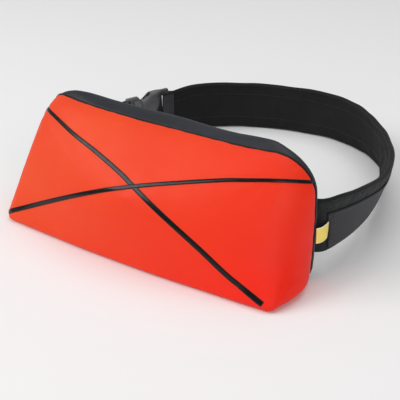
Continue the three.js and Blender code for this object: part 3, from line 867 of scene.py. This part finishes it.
front_skin = Skin(pouch_front)
TAPE_WIDTHS = [(3.6, 5.4), (4.8, 3.2)]  # of each tape, at its left end and at its right end
TAPE_PITCH = 2
TAPE_RISE = 0.45
UPPER_RISE = 0.6075  # of the rising tape, which lies over the other
TAPES = [
    # x, z of each middle line seen from the front
    [
        (-100, 99.2),
        (-82, 96.2),
        (-52, 91.2),
        (-13, 83.1),
        (7, 77),
        (45, 60.7),
        (83, 39.7),
        (114, 21.5),
        (148, 7.5),
    ],
    [(-153, 7.5), (-112, 27.6), (-58, 53.1), (-13, 71.2), (6, 77), (36, 84.5), (66, 91), (90, 95.6)],
]
# The falling tape starts at the left edge of the front.
TAPE_START = [(-147, 57.5, 101), (-140, 52, 103), (-128, 44.5, 103.5), (-112, 38, 101.4)]
# The rising tape runs on over the rounded end to the seam.
TAPE_END = [
    (104.5, 34, 97.5),
    (118.5, 39, 99.4),
    (132, 46, 100),
    (141.5, 54.5, 98.8),
    (147, 62, 97),
    (149.5, 69.5, 94.4),
]
TAPE_SECTION = [
    # share of half the width, share of the rise
    (-1, -0.2),
    (-0.97, 0.75),
    (-0.6, 1),
    (0, 1.05),
    (0.6, 1),
    (0.97, 0.75),
    (1, -0.2),
]


def tape_line(before, rows, after):
    """A tape's middle line on the front, through rows seen from the front and places before and after."""
    knots = [front_skin.from_front(x, z) for x, z in rows]
    knots = before + [tuple(p) for p in knots if p is not None] + after
    line = resample([Vector(p) for p in spline(knots, 12)], TAPE_PITCH)
    return [front_skin.nearest(p)[0] for p in line]


def lay_tape(name, line, widths, rise):
    """A thin strip on the front: its edges touch the cloth and its middle stands a little higher."""
    rings = []
    for i, place in enumerate(line):
        width = lerp(*widths, i / (len(line) - 1))
        ahead = line[min(i + 1, len(line) - 1)] - line[max(i - 1, 0)]
        _, normal = front_skin.nearest(place)
        side = ahead.cross(normal).normalized()
        ring = []
        for share, lift in TAPE_SECTION:
            spot, up = front_skin.nearest(place + side * (share * width / 2))
            ring.append(spot + up * (rise * lift))
        rings.append(ring)
    stand_for(make_piece(name, FILM, *loft(rings, closed=False)), "cross_tape")


lay_tape("tape_falling", tape_line(TAPE_START, TAPES[0], []), TAPE_WIDTHS[0], TAPE_RISE)
lay_tape("tape_rising", tape_line([], TAPES[1], TAPE_END), TAPE_WIDTHS[1], UPPER_RISE)


# Belt loop

class Frame:
    """A place on the belt with its directions: along it, up, and out from the loop."""

    def __init__(self, place, along, up, out, distance=0.0):
        self.place, self.along, self.up, self.out, self.distance = place, along, up, out, distance

    def at(self, out, up):
        return self.place + self.out * out + self.up * up

    def moved(self, out, drop=0.0):
        return Frame(self.at(out, -drop), self.along, self.up, self.out, self.distance)

    def flipped(self):
        return Frame(self.place, self.along, self.up, -self.out, self.distance)


def loop_frames():
    """Frames along the pad's middle, from behind the pouch round by the right and back to its left half."""
    against = BACK_DEPTH + PAD_GAP + PAD_THICKNESS / 2
    spots = spline(LOOP, 16)
    frames = []
    distance = 0.0
    for i, (x, back, middle, lean) in enumerate(spots):
        a = spots[max(i - 1, 0)]
        b = spots[min(i + 1, len(spots) - 1)]
        along = Vector((b[0] - a[0], b[1] - a[1], 0)).normalized()
        level = Vector((along.y, -along.x, 0))
        tilt = math.radians(lean)
        up = level * math.sin(tilt) + Vector((0, 0, math.cos(tilt)))
        out = level * math.cos(tilt) - Vector((0, 0, math.sin(tilt)))
        if i:
            distance += math.hypot(x - spots[i - 1][0], back - spots[i - 1][1])
        frames.append(Frame(Vector((x, against + back, middle)), along, up, out, distance))
    return frames


FRAMES = loop_frames()
# The solids' loop has coarser spans, so its distances are a little shorter.
LOOP_LENGTH = FRAMES[-1].distance


def frame_at(distance):
    """The frame at a distance along the loop."""
    distance = clamp(distance, 0.0, LOOP_LENGTH)
    nxt = next(i for i, f in enumerate(FRAMES) if f.distance >= distance - 1e-6)
    if nxt < 1:
        return FRAMES[0]
    a, b = FRAMES[nxt - 1], FRAMES[nxt]
    t = (distance - a.distance) / (b.distance - a.distance)

    def mix(key):
        return getattr(a, key).lerp(getattr(b, key), t)

    return Frame(mix("place"), mix("along"), mix("up").normalized(), mix("out").normalized(), distance)


def frames_between(start, end, pitch):
    count = max(2, round(abs(end - start) / pitch) + 1)
    return [frame_at(lerp(start, end, i / (count - 1))) for i in range(count)]


def band(frames, section_of):
    """Rings of a band: the section that a function gives for each frame, as places."""
    return [[f.at(out, up) for out, up in section_of(f)] for f in frames]


def webbing_drop(f):
    """How far below the pad's middle the webbing runs: less and less on the way to the buckle."""
    return WEBBING_DROP * (1 - smoothstep(f.distance, PAD_TO - 200, PAD_TO - 60))


# Padded belt

STITCH_IN = 13  # from the pad's edge to its long stitch line
CROSS_SEAMS = (PAD_TO - 20, PAD_TO - 13.7)
SECTION_STEPS = 22
END_NARROWING = 0.22  # share of its width that the pad loses at its far end
END_THINNING = 0.3  # share of its thickness that it loses there
EDGE_UNEVEN = 0.9
EDGE_IN = 0.4  # how far the pad's edge lies in from the solid's
EDGE_HALF = 0.35  # half the pad's thickness at its very edge
EDGE_ROUND = 4.5
GROOVE_HALF = 1.5  # half the width of a stitch line's groove
GROOVE_DEPTH = {"inner": 1.0, "outer": 0.35}
SEAM_DEEPER = 1.5  # how many times deeper the seams across are


def pad_taper(f):
    return smoothstep(f.distance, PAD_TO - PAD_TAPER, PAD_TO)


def pad_half(f):
    """Half the pad's width, with a slightly uneven edge."""
    uneven = EDGE_UNEVEN * noise.noise(Vector((f.distance / 26, 4.3, 1.9)))
    return PAD_WIDTH / 2 * (1 - END_NARROWING * pad_taper(f)) + uneven - EDGE_IN


def pad_thick(f, up, outside):
    """Half thickness of the pad at a height: thin at its edges and drawn in at the stitch lines."""
    half = pad_half(f)
    inset = half - abs(up)
    full = PAD_THICKNESS / 2 * (1 - END_THINNING * pad_taper(f))
    round_off = math.sqrt(clamp(1 - (1 - clamp(inset / EDGE_ROUND)) ** 2))
    thick = lerp(EDGE_HALF, full, round_off)
    groove = math.exp(-(((inset - STITCH_IN) / GROOVE_HALF) ** 2))
    for seam in CROSS_SEAMS:
        groove = max(groove, SEAM_DEEPER * math.exp(-(((f.distance - seam) / GROOVE_HALF) ** 2)))
    return thick - GROOVE_DEPTH["outer" if outside else "inner"] * groove * round_off


def pad_section(f):
    """Out and up of the pad's inner face from its lower edge, then of its outer face on the way back."""
    half = pad_half(f) - 0.4
    shares = [2 * k / SECTION_STEPS - 1 for k in range(SECTION_STEPS + 1)]
    ups = [lerp(half * math.sin(math.pi / 2 * share), half * share, 0.75) for share in shares]
    inner = [(-pad_thick(f, up, False), up) for up in ups]
    outer = [(pad_thick(f, up, True), up) for up in reversed(ups)]
    return inner + outer


# Closer rings follow the two seams across the far end.
PAD_FROM = 0.6
PAD_PITCH = 3
FINE_FROM = PAD_TO - 26
FINE_PITCH = 1.4
pad_frames = frames_between(PAD_FROM, FINE_FROM, PAD_PITCH)
pad_frames += frames_between(FINE_FROM + FINE_PITCH, PAD_TO, FINE_PITCH)
pad_rings = band(pad_frames, pad_section)
pad_count = len(pad_rings[0])
pad = make_piece("waist_pad", LINING, *loft(pad_rings))
pad.data.materials.append(MESH)
pad.data.materials.append(END_CLOTH)
OUTER_SLOT = 1
END_SLOT = 2
for polygon in pad.data.polygons:
    ring, side = divmod(polygon.index, pad_count)
    if ring < len(pad_rings) - 1 and side > SECTION_STEPS:
        polygon.material_index = OUTER_SLOT
    elif pad_frames[min(ring, len(pad_rings) - 1)].distance > CROSS_SEAMS[1]:
        polygon.material_index = END_SLOT
face_out(pad)


def puff(piece, held, pressure, grow, cap):
    """Swells a piece with a cloth simulation between its held vertices; no point moves further than cap."""
    mesh = piece.data
    before = [v.co.copy() for v in mesh.vertices]
    pins = piece.vertex_groups.new(name="held")
    pins.add(held, 1.0, "REPLACE")
    cloth = piece.modifiers.new("cloth", "CLOTH")
    cloth.settings.vertex_group_mass = pins.name
    cloth.settings.use_pressure = True
    cloth.settings.uniform_pressure_force = pressure
    cloth.settings.shrink_min = -grow
    cloth.settings.effector_weights.gravity = 0
    cloth.settings.quality = 5
    cloth.collision_settings.use_collision = False
    for step in range(1, 21):
        scene.frame_set(step)
    graph = bpy.context.evaluated_depsgraph_get()
    swollen = piece.evaluated_get(graph)
    after = [v.co.copy() for v in swollen.data.vertices]
    piece.modifiers.remove(cloth)
    piece.vertex_groups.remove(pins)
    scene.frame_set(1)
    for vertex, old, new in zip(mesh.vertices, before, after):
        move = new - old
        if move.length > cap / 1000:
            move *= cap / 1000 / move.length
        vertex.co = old + move
    mesh.update()


def pad_held():
    """Vertices of the pad at its edges, stitch lines and ends, and under the webbing."""
    held = []
    for i, f in enumerate(pad_frames):
        for k, (out, up) in enumerate(pad_section(f)):
            inset = pad_half(f) - abs(up)
            at_end = i < 2 or i > len(pad_frames) - 3
            at_seam = any(abs(f.distance - seam) < 1.6 for seam in CROSS_SEAMS)
            in_groove = abs(inset - STITCH_IN) < 1.4 or at_seam
            covered = out > 0 and f.distance > WEBBING_FROM and up < WEBBING_WIDTH / 2 - webbing_drop(f) + 1
            against = out > 0 and f.distance < WEBBING_FROM - 10
            if inset < 3.2 or at_end or in_groove or covered or against:
                held.append(i * pad_count + k)
    first = len(pad_frames) * pad_count
    return held + [first, first + 1]


puff(pad, pad_held(), pressure=2.0, grow=0.02, cap=1.4)


def pad_softness(place, normal):
    """Upright wrinkles in the lining, none on the face that the webbing is sewn to."""
    heading = Vector((place.x, place.y - 200, 0))
    inner = smoothstep(-normal.dot(heading.normalized()), 0.2, 0.8)
    wrinkle = swell(Vector((place.x, place.y, place.z * 0.22)), "lining")
    return inner * (wrinkle + swell(Vector((place.x, place.y, place.z * 0.5)), "pad"))


soften(pad, pad_softness)
smoothed(pad)
stand_for(pad, "belt_pad")


# Binding tape round both long edges of the pad

BINDING_WIDTH = 2.5  # how far the tape reaches in from the edge on each face
BINDING_ROWS = [
    # in from the edge, proud of the pad
    (BINDING_WIDTH, 0.1),
    (1.8, 0.2),
    (1.1, 0.24),
    (0.45, 0.22),
]
BINDING_FOLD = (0.75, 0.15)  # half its thickness past the pad's edge, and how far past
OUTER_SHARE = 0.6  # how proud the tape is outside, as a share of inside


def binding_section(side):
    """The section of the tape round the upper edge, side 1, or the lower edge, side -1."""

    def section(f):
        half = pad_half(f)
        thick, past = BINDING_FOLD
        tucked = (0.2, half - BINDING_WIDTH - 0.2)
        rows = [(-(pad_thick(f, half - depth, False) + proud), half - depth) for depth, proud in BINDING_ROWS]
        rows += [(-thick, half + past), (thick, half + past)]
        for depth, proud in reversed(BINDING_ROWS):
            rows.append((pad_thick(f, half - depth, True) + proud * OUTER_SHARE, half - depth))
        rows += [tucked, (-tucked[0], tucked[1])]
        return [(out, side * up) for out, up in rows]

    return section


for name, side in (("binding_upper", 1), ("binding_lower", -1)):
    binding_frames = frames_between(0.4, PAD_TO + 0.3, PAD_PITCH)
    piece = lofted(name, BINDING, band(binding_frames, binding_section(side)))
    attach(piece, "root")


# Stitching

STITCH_SECTIONS = [
    # share of the stitch's length, share of its radius, lift over the cloth in radii
    (0.0, 0.25, -0.6),
    (0.25, 0.9, 0.3),
    (0.5, 1.0, 0.45),
    (0.75, 0.9, 0.3),
    (1.0, 0.25, -0.6),
]
STITCH_SIDES = 6


def stitch(spots, radius, first):
    """Points and faces of one stitch along (place, normal) pairs, with its first point numbered first."""
    direction = (spots[-1][0] - spots[0][0]).normalized()
    points, faces = [], []
    for (place, normal), (_, size, lift) in zip(spots, STITCH_SECTIONS):
        side = direction.cross(normal).normalized()
        centre = place + normal * (radius * lift)
        for k in range(STITCH_SIDES):
            turn = 2 * math.pi * k / STITCH_SIDES
            points.append(centre + (side * math.cos(turn) + normal * math.sin(turn)) * radius * size)
    last = first + (len(spots) - 1) * STITCH_SIDES
    for near in range(first, last, STITCH_SIDES):
        far = near + STITCH_SIDES
        for k in range(STITCH_SIDES):
            nxt = (k + 1) % STITCH_SIDES
            faces.append((near + k, near + nxt, far + nxt, far + k))
    faces.append(tuple(first + k for k in range(STITCH_SIDES)))
    faces.append(tuple(last + k for k in reversed(range(STITCH_SIDES))))
    return points, faces


def stitch_rows(lines, length, pitch, radius):
    """Points and faces of rows of stitches; each line is a list of (place, normal) pairs about 1 mm apart."""
    points, faces = [], []
    for line in lines:
        along = distances([place for place, _ in line])
        at = 0
        start = pitch * 0.3
        while start + length < along[-1]:
            spots = []
            for share, _, _ in STITCH_SECTIONS:
                at, part = locate(along, start + share * length, at)
                (place, normal), (next_place, next_normal) = line[at : at + 2]
                spots.append((place.lerp(next_place, part), normal.lerp(next_normal, part).normalized()))
            more_points, more_faces = stitch(spots, radius, len(points))
            points += more_points
            faces += more_faces
            start += pitch
    return points, faces


def sew(name, lines, material, length=2.4, pitch=3.3, radius=0.28):
    piece = make_piece(name, material, *stitch_rows(lines, length, pitch, radius))
    face_out(piece)
    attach(piece, "root")


def lining_line(spots):
    """A line on the pad's swollen inner face, through the (frame, height) pairs that meet it."""
    well_inside = -12
    line = []
    for f, up in spots:
        hit = pad_skin.tree.ray_cast(f.at(well_inside, up), f.out)[0]
        if hit is not None:
            line.append((hit, -f.out))
    return line


def across(distance, half):
    """Pairs of a frame and a height about 1 mm apart, from half below the middle to half above it."""
    count = round(2 * half)
    return [(frame_at(distance), lerp(-half, half, k / count)) for k in range(count + 1)]


SEWN_FROM = 4
SEWN_TO = PAD_TO - 3
SEAM_SHORT = 5.5  # how far the seams across stop short of the pad's edges
pad_skin = Skin(pad)
sewn = frames_between(SEWN_FROM, SEWN_TO, 1.0)
lining_lines = [lining_line([(f, side * (pad_half(f) - STITCH_IN)) for f in sewn]) for side in (1, -1)]
for seam in CROSS_SEAMS:
    lining_lines.append(lining_line(across(seam, pad_half(frame_at(seam)) - SEAM_SHORT)))
sew("pad_stitches", lining_lines, THREAD)


def binding_line(side, outside):
    """A line along the binding's inner or outer face, near its open edge."""
    line = []
    for f in sewn:
        up = side * (pad_half(f) - BINDING_WIDTH + 0.8)
        thick = pad_thick(f, abs(up), outside) + 0.12
        sign = 1 if outside else -1
        line.append((f.at(sign * thick, up), f.out * sign))
    return line


sew(
    "binding_stitches",
    [binding_line(side, outside) for side in (1, -1) for outside in (False, True)],
    THREAD,
)


# Straps

STRAP_OUT = PAD_THICKNESS / 2 + GAP + WEBBING_THICKNESS / 2
FOLD_RADIUS = BAR_HALF + GAP + WEBBING_THICKNESS / 2
FOLDED_OUT = STRAP_OUT + WEBBING_THICKNESS + GAP
FOLD_SLOPE = 18  # from a bar to where the folded end lies on the strap
FOLD_STRAIGHT = 4.5
FOLD_STEPS = 16
WEBBING_FOLD = 40  # from the socket's bar to the webbing's folded end
STRAP_FOLD = 55  # from the plug's bar to the strap's folded end
PLUG_BAR = SOCKET_BAR + BAR_SPACING


def buckle_frame():
    """The buckle's own axes: from the socket's bar towards the plug's bar, up, and out from the belt."""
    place, far = (frame_at(bar).moved(STRAP_OUT + FOLD_RADIUS).place for bar in (SOCKET_BAR, PLUG_BAR))
    along = (far - place).normalized()
    out = along.cross(Vector((0, 0, 1))).normalized()
    return Frame(place, along, out.cross(along), out)


buckle = buckle_frame()
buckle_end = buckle.place + buckle.along * BAR_SPACING


def strap_section(width, thickness):
    """A woven strap's section, with rounded edges and a slightly raised selvedge."""
    half, thick = width / 2, thickness / 2
    upper = [
        (-thick * 0.45, half),
        (-thick * 0.95, half - 0.45),
        (-thick, half - 1.6),
        (-thick * 0.93, half - 2.6),
    ]
    inner = upper + [(-thick * 0.93, 0)] + [(out, -up) for out, up in reversed(upper)]
    outer = [(-out, up) for out, up in reversed(inner)]
    return lambda f: inner + outer


def fold(centre, side):
    """Frames of a strap's turn round a bar of the buckle, and of a short straight stretch after it."""
    frames = []
    for k in range(FOLD_STEPS + 1):
        turn = math.pi * k / FOLD_STEPS
        away = buckle.out * -math.cos(turn) + buckle.along * (side * math.sin(turn))
        frames.append(Frame(centre + away * FOLD_RADIUS, None, buckle.up, -away))
    end = frames[-1]
    for k in (0.5, 1.0):
        frames.append(Frame(end.place - buckle.along * (side * FOLD_STRAIGHT * k), None, end.up, end.out))
    return frames


def smooth_run(frames, pitch):
    """Frames evenly spaced on a smooth curve through the places of some frames."""
    fine = spline([(*f.place, *f.up, *f.out) for f in frames], 6)
    along = distances([Vector(row[:3]) for row in fine])
    count = round(along[-1] / pitch) + 1
    run = []
    at = 0
    for i in range(count):
        at, share = locate(along, along[-1] * i / (count - 1), at)
        row = [lerp(a, b, share) for a, b in zip(fine[at], fine[at + 1])]
        place, up, out = (Vector(row[k : k + 3]) for k in (0, 3, 6))
        run.append(Frame(place, None, up.normalized(), out.normalized()))
    return run


START_SLANT = 2.6  # how much further on the lower edge of the webbing starts than its middle
SLANT_FADE = 24


def slant(f, up):
    """Move along the belt of a point of the webbing at a height from its middle, near its cut start."""
    fade = 1 - smoothstep(f.distance, WEBBING_FROM, WEBBING_FROM + SLANT_FADE)
    return f.along * (-START_SLANT * fade * up / (WEBBING_WIDTH / 2))


STRAP_PITCH = 2.5


def strap(name, run, centre, side, back, material, node, slanted=False):
    """A strap along run, round the bar at centre and back on itself."""
    turn = fold(centre, side)
    end = smooth_run(turn[-2:] + back, STRAP_PITCH)[1:]
    frames = run + turn[:-2] + end
    section = strap_section(WEBBING_WIDTH, WEBBING_THICKNESS)
    rings = band(frames, section)
    if slanted:
        for f, ring in zip(run, rings):
            for k, (_, up) in enumerate(section(f)):
                ring[k] = ring[k] + slant(f, up)
    stand_for(lofted(name, material, rings), node)


def no_drop(f):
    return 0.0


def sewn_run(start, end, drop):
    """Frames of a strap on the belt."""
    return [f.moved(STRAP_OUT, drop(f)) for f in frames_between(start, end, STRAP_PITCH)]


def folded_run(start, end, drop):
    """Frames of a strap's folded end, which lies on the strap with its face turned."""
    return [f.moved(FOLDED_OUT, drop(f)).flipped() for f in frames_between(start, end, 6)]


webbing_end = SOCKET_BAR - WEBBING_FOLD
webbing_run = sewn_run(WEBBING_FROM, SOCKET_BAR - 2, webbing_drop)
webbing_back = folded_run(SOCKET_BAR - FOLD_SLOPE, webbing_end, webbing_drop)
strap("belt_strap", webbing_run, buckle.place, 1, webbing_back, WEBBING, "belt_webbing", True)

strap_end = PLUG_BAR + STRAP_FOLD
left_run = sewn_run(LOOP_LENGTH, PLUG_BAR + 2, no_drop)
left_back = folded_run(PLUG_BAR + FOLD_SLOPE, strap_end, no_drop)
strap("plug_strap", left_run, buckle_end, -1, left_back, STRAP, "left_strap")


def strap_line(start, end, out, up, drop=no_drop):
    """A stitch line along a strap, at a height from its middle."""
    return [(f.at(out, up - drop(f)), f.out) for f in frames_between(start, end, 1.0)]


def strap_cross(distance, out, half, drop=no_drop, slanted=False):
    """A stitch line across a strap."""
    line = []
    for f, up in across(distance, half):
        move = slant(f, up) if slanted else Vector()
        line.append((f.at(out, up - drop(f)) + move, f.out))
    return line


face = STRAP_OUT + WEBBING_THICKNESS / 2
# A dense black bar tack across the start of the webbing, over the tab. It is partly a real tack and partly
# painted shadow, standing in for the dark line where the tab runs under the webbing.
sew(
    "tab_tack_and_shadow",
    [strap_cross(WEBBING_FROM + step, face, TAB_WIDTH / 2 + 3, webbing_drop, True) for step in (0.9, 1.7)],
    THREAD,
    length=1.5,
    pitch=1.7,
    radius=0.34,
)
folded_face = FOLDED_OUT + WEBBING_THICKNESS / 2
edge_up = WEBBING_WIDTH / 2 - 2.6
sew(
    "webbing_stitches",
    [
        strap_line(WEBBING_FROM + 3, webbing_end - 2, face, edge_up, webbing_drop),
        strap_line(WEBBING_FROM + 3, webbing_end - 2, face, -edge_up, webbing_drop),
        strap_cross(WEBBING_FROM + 3, face, edge_up, webbing_drop, True),
        strap_cross(WEBBING_FROM + 6.5, face, edge_up, webbing_drop, True),
        strap_cross(webbing_end + 3, folded_face, edge_up, webbing_drop),
        strap_cross(webbing_end + 7, folded_face, edge_up, webbing_drop),
        strap_cross(SOCKET_BAR - FOLD_SLOPE - 4, folded_face, edge_up, webbing_drop),
    ],
    GREY_THREAD,
    radius=0.24,
)
sew(
    "strap_stitches",
    [
        strap_cross(strap_end - 3, folded_face, edge_up),
        strap_cross(strap_end - 7, folded_face, edge_up),
        strap_line(strap_end - 22, strap_end - 3, folded_face, edge_up),
        strap_line(strap_end - 22, strap_end - 3, folded_face, -edge_up),
        strap_cross(strap_end - 22, folded_face, edge_up),
    ],
    THREAD,
    radius=0.24,
)


# Yellow tab

TAB_BOW = [
    # out from the end of the pouch, back from its seam
    (0, 1),
    (2.4, 6),
    (2.4, 14),
]


def tab_frames():
    """Frames of the tab from the end of the pouch, bowed out to the pad, to the start of the webbing."""
    level = Vector((0, 0, 1))
    outside = HALF_LENGTH + PIPING_OUT + GAP + TAB_THICKNESS / 2 + end_swell(TAB_HEIGHT)

    def on_pad(distance):
        f = frame_at(distance)
        place = f.at(PAD_THICKNESS / 2 + GAP + TAB_THICKNESS / 2, 0)
        return place + f.up * (TAB_HEIGHT - place.z), f.up

    spots = [
        *((Vector((outside + out, SEAM_DEPTH + back, TAB_HEIGHT)), level) for out, back in TAB_BOW),
        on_pad(WEBBING_FROM - 0.6),
    ]
    rows = [(*place, *up) for place, up in spots]
    fine = spline(rows, 8)
    frames = []
    for i, row in enumerate(fine):
        a, b = fine[max(i - 1, 0)], fine[min(i + 1, len(fine) - 1)]
        along = (Vector(b[:3]) - Vector(a[:3])).normalized()
        up = Vector(row[3:6]).normalized()
        frames.append(Frame(Vector(row[:3]), along, up, along.cross(up).normalized()))
    return frames


tab_rings = band(tab_frames(), strap_section(TAB_WIDTH, TAB_THICKNESS))
stand_for(lofted("yellow_tab", YELLOW, tab_rings), "pull_tab")


# Buckle

BUCKLE_EDGE = 0.5

for name in ("buckle_socket", "buckle_plug"):
    node = nodes[name]
    node.data.materials.clear()
    node.data.materials.append(PLASTIC)
    bevel = node.modifiers.new("edges", "BEVEL")
    bevel.width = BUCKLE_EDGE / 1000
    bevel.segments = 2
    bevel.limit_method = "ANGLE"
    bevel.angle_limit = math.radians(28)


# Floor, camera and light

def stage_floor():
    n = Nodes("pale_floor")
    base = n.mix(n.noise(n.place(), 3.0), (0.93, 0.93, 0.93, 1), (0.95, 0.95, 0.95, 1))
    mesh = bpy.data.meshes.new("floor")
    half = 6
    corners = [(-half, -half, 0), (half, -half, 0), (half, half, 0), (-half, half, 0)]
    mesh.from_pydata(corners, [], [(0, 1, 2, 3)])
    mesh.materials.append(n.surface({"Base Color": base, "Roughness": 0.9}))
    floor = bpy.data.objects.new("floor", mesh)
    floor.location.z = -0.0002
    scene.collection.objects.link(floor)


stage_floor()


LENS = 98.8
CAMERA_PLACE = (576.4, -678.3, 477)
CAMERA_TILT = 65
CAMERA_TURN = 36.1


def photo_camera():
    """The camera, where the photograph was taken from."""
    camera = bpy.data.objects.new("camera", bpy.data.cameras.new("camera"))
    camera.data.sensor_width = 36
    camera.data.lens = LENS
    camera.data.clip_start = 0.05
    camera.data.clip_end = 20
    camera.location = metres(CAMERA_PLACE)
    camera.rotation_euler = (math.radians(CAMERA_TILT), 0, math.radians(CAMERA_TURN))
    scene.collection.objects.link(camera)
    scene.camera = camera


photo_camera()


def area_light(name, place, aim, size, power):
    data = bpy.data.lights.new(name, "AREA")
    data.shape = "RECTANGLE"
    data.size, data.size_y = size
    data.energy = power
    light = bpy.data.objects.new(name, data)
    light.location = place
    light.rotation_euler = (Vector(aim) - Vector(place)).to_track_quat("-Z", "Y").to_euler()
    scene.collection.objects.link(light)


AIM = (0.0, -0.05, 0.05)
area_light("key", (-1.3, -1.35, 1.5), AIM, (1.6, 1.2), 24)
area_light("top", (0.1, 0.3, 2.0), AIM, (2.0, 2.0), 15)
area_light("fill", (1.6, -1.5, 0.9), AIM, (1.5, 1.5), 13)

world = bpy.data.worlds.new("studio")
world.use_nodes = True
world.node_tree.nodes["Background"].inputs["Color"].default_value = (1, 1, 1, 1)
world.node_tree.nodes["Background"].inputs["Strength"].default_value = 0.32
scene.world = world
scene.view_settings.view_transform = "Standard"
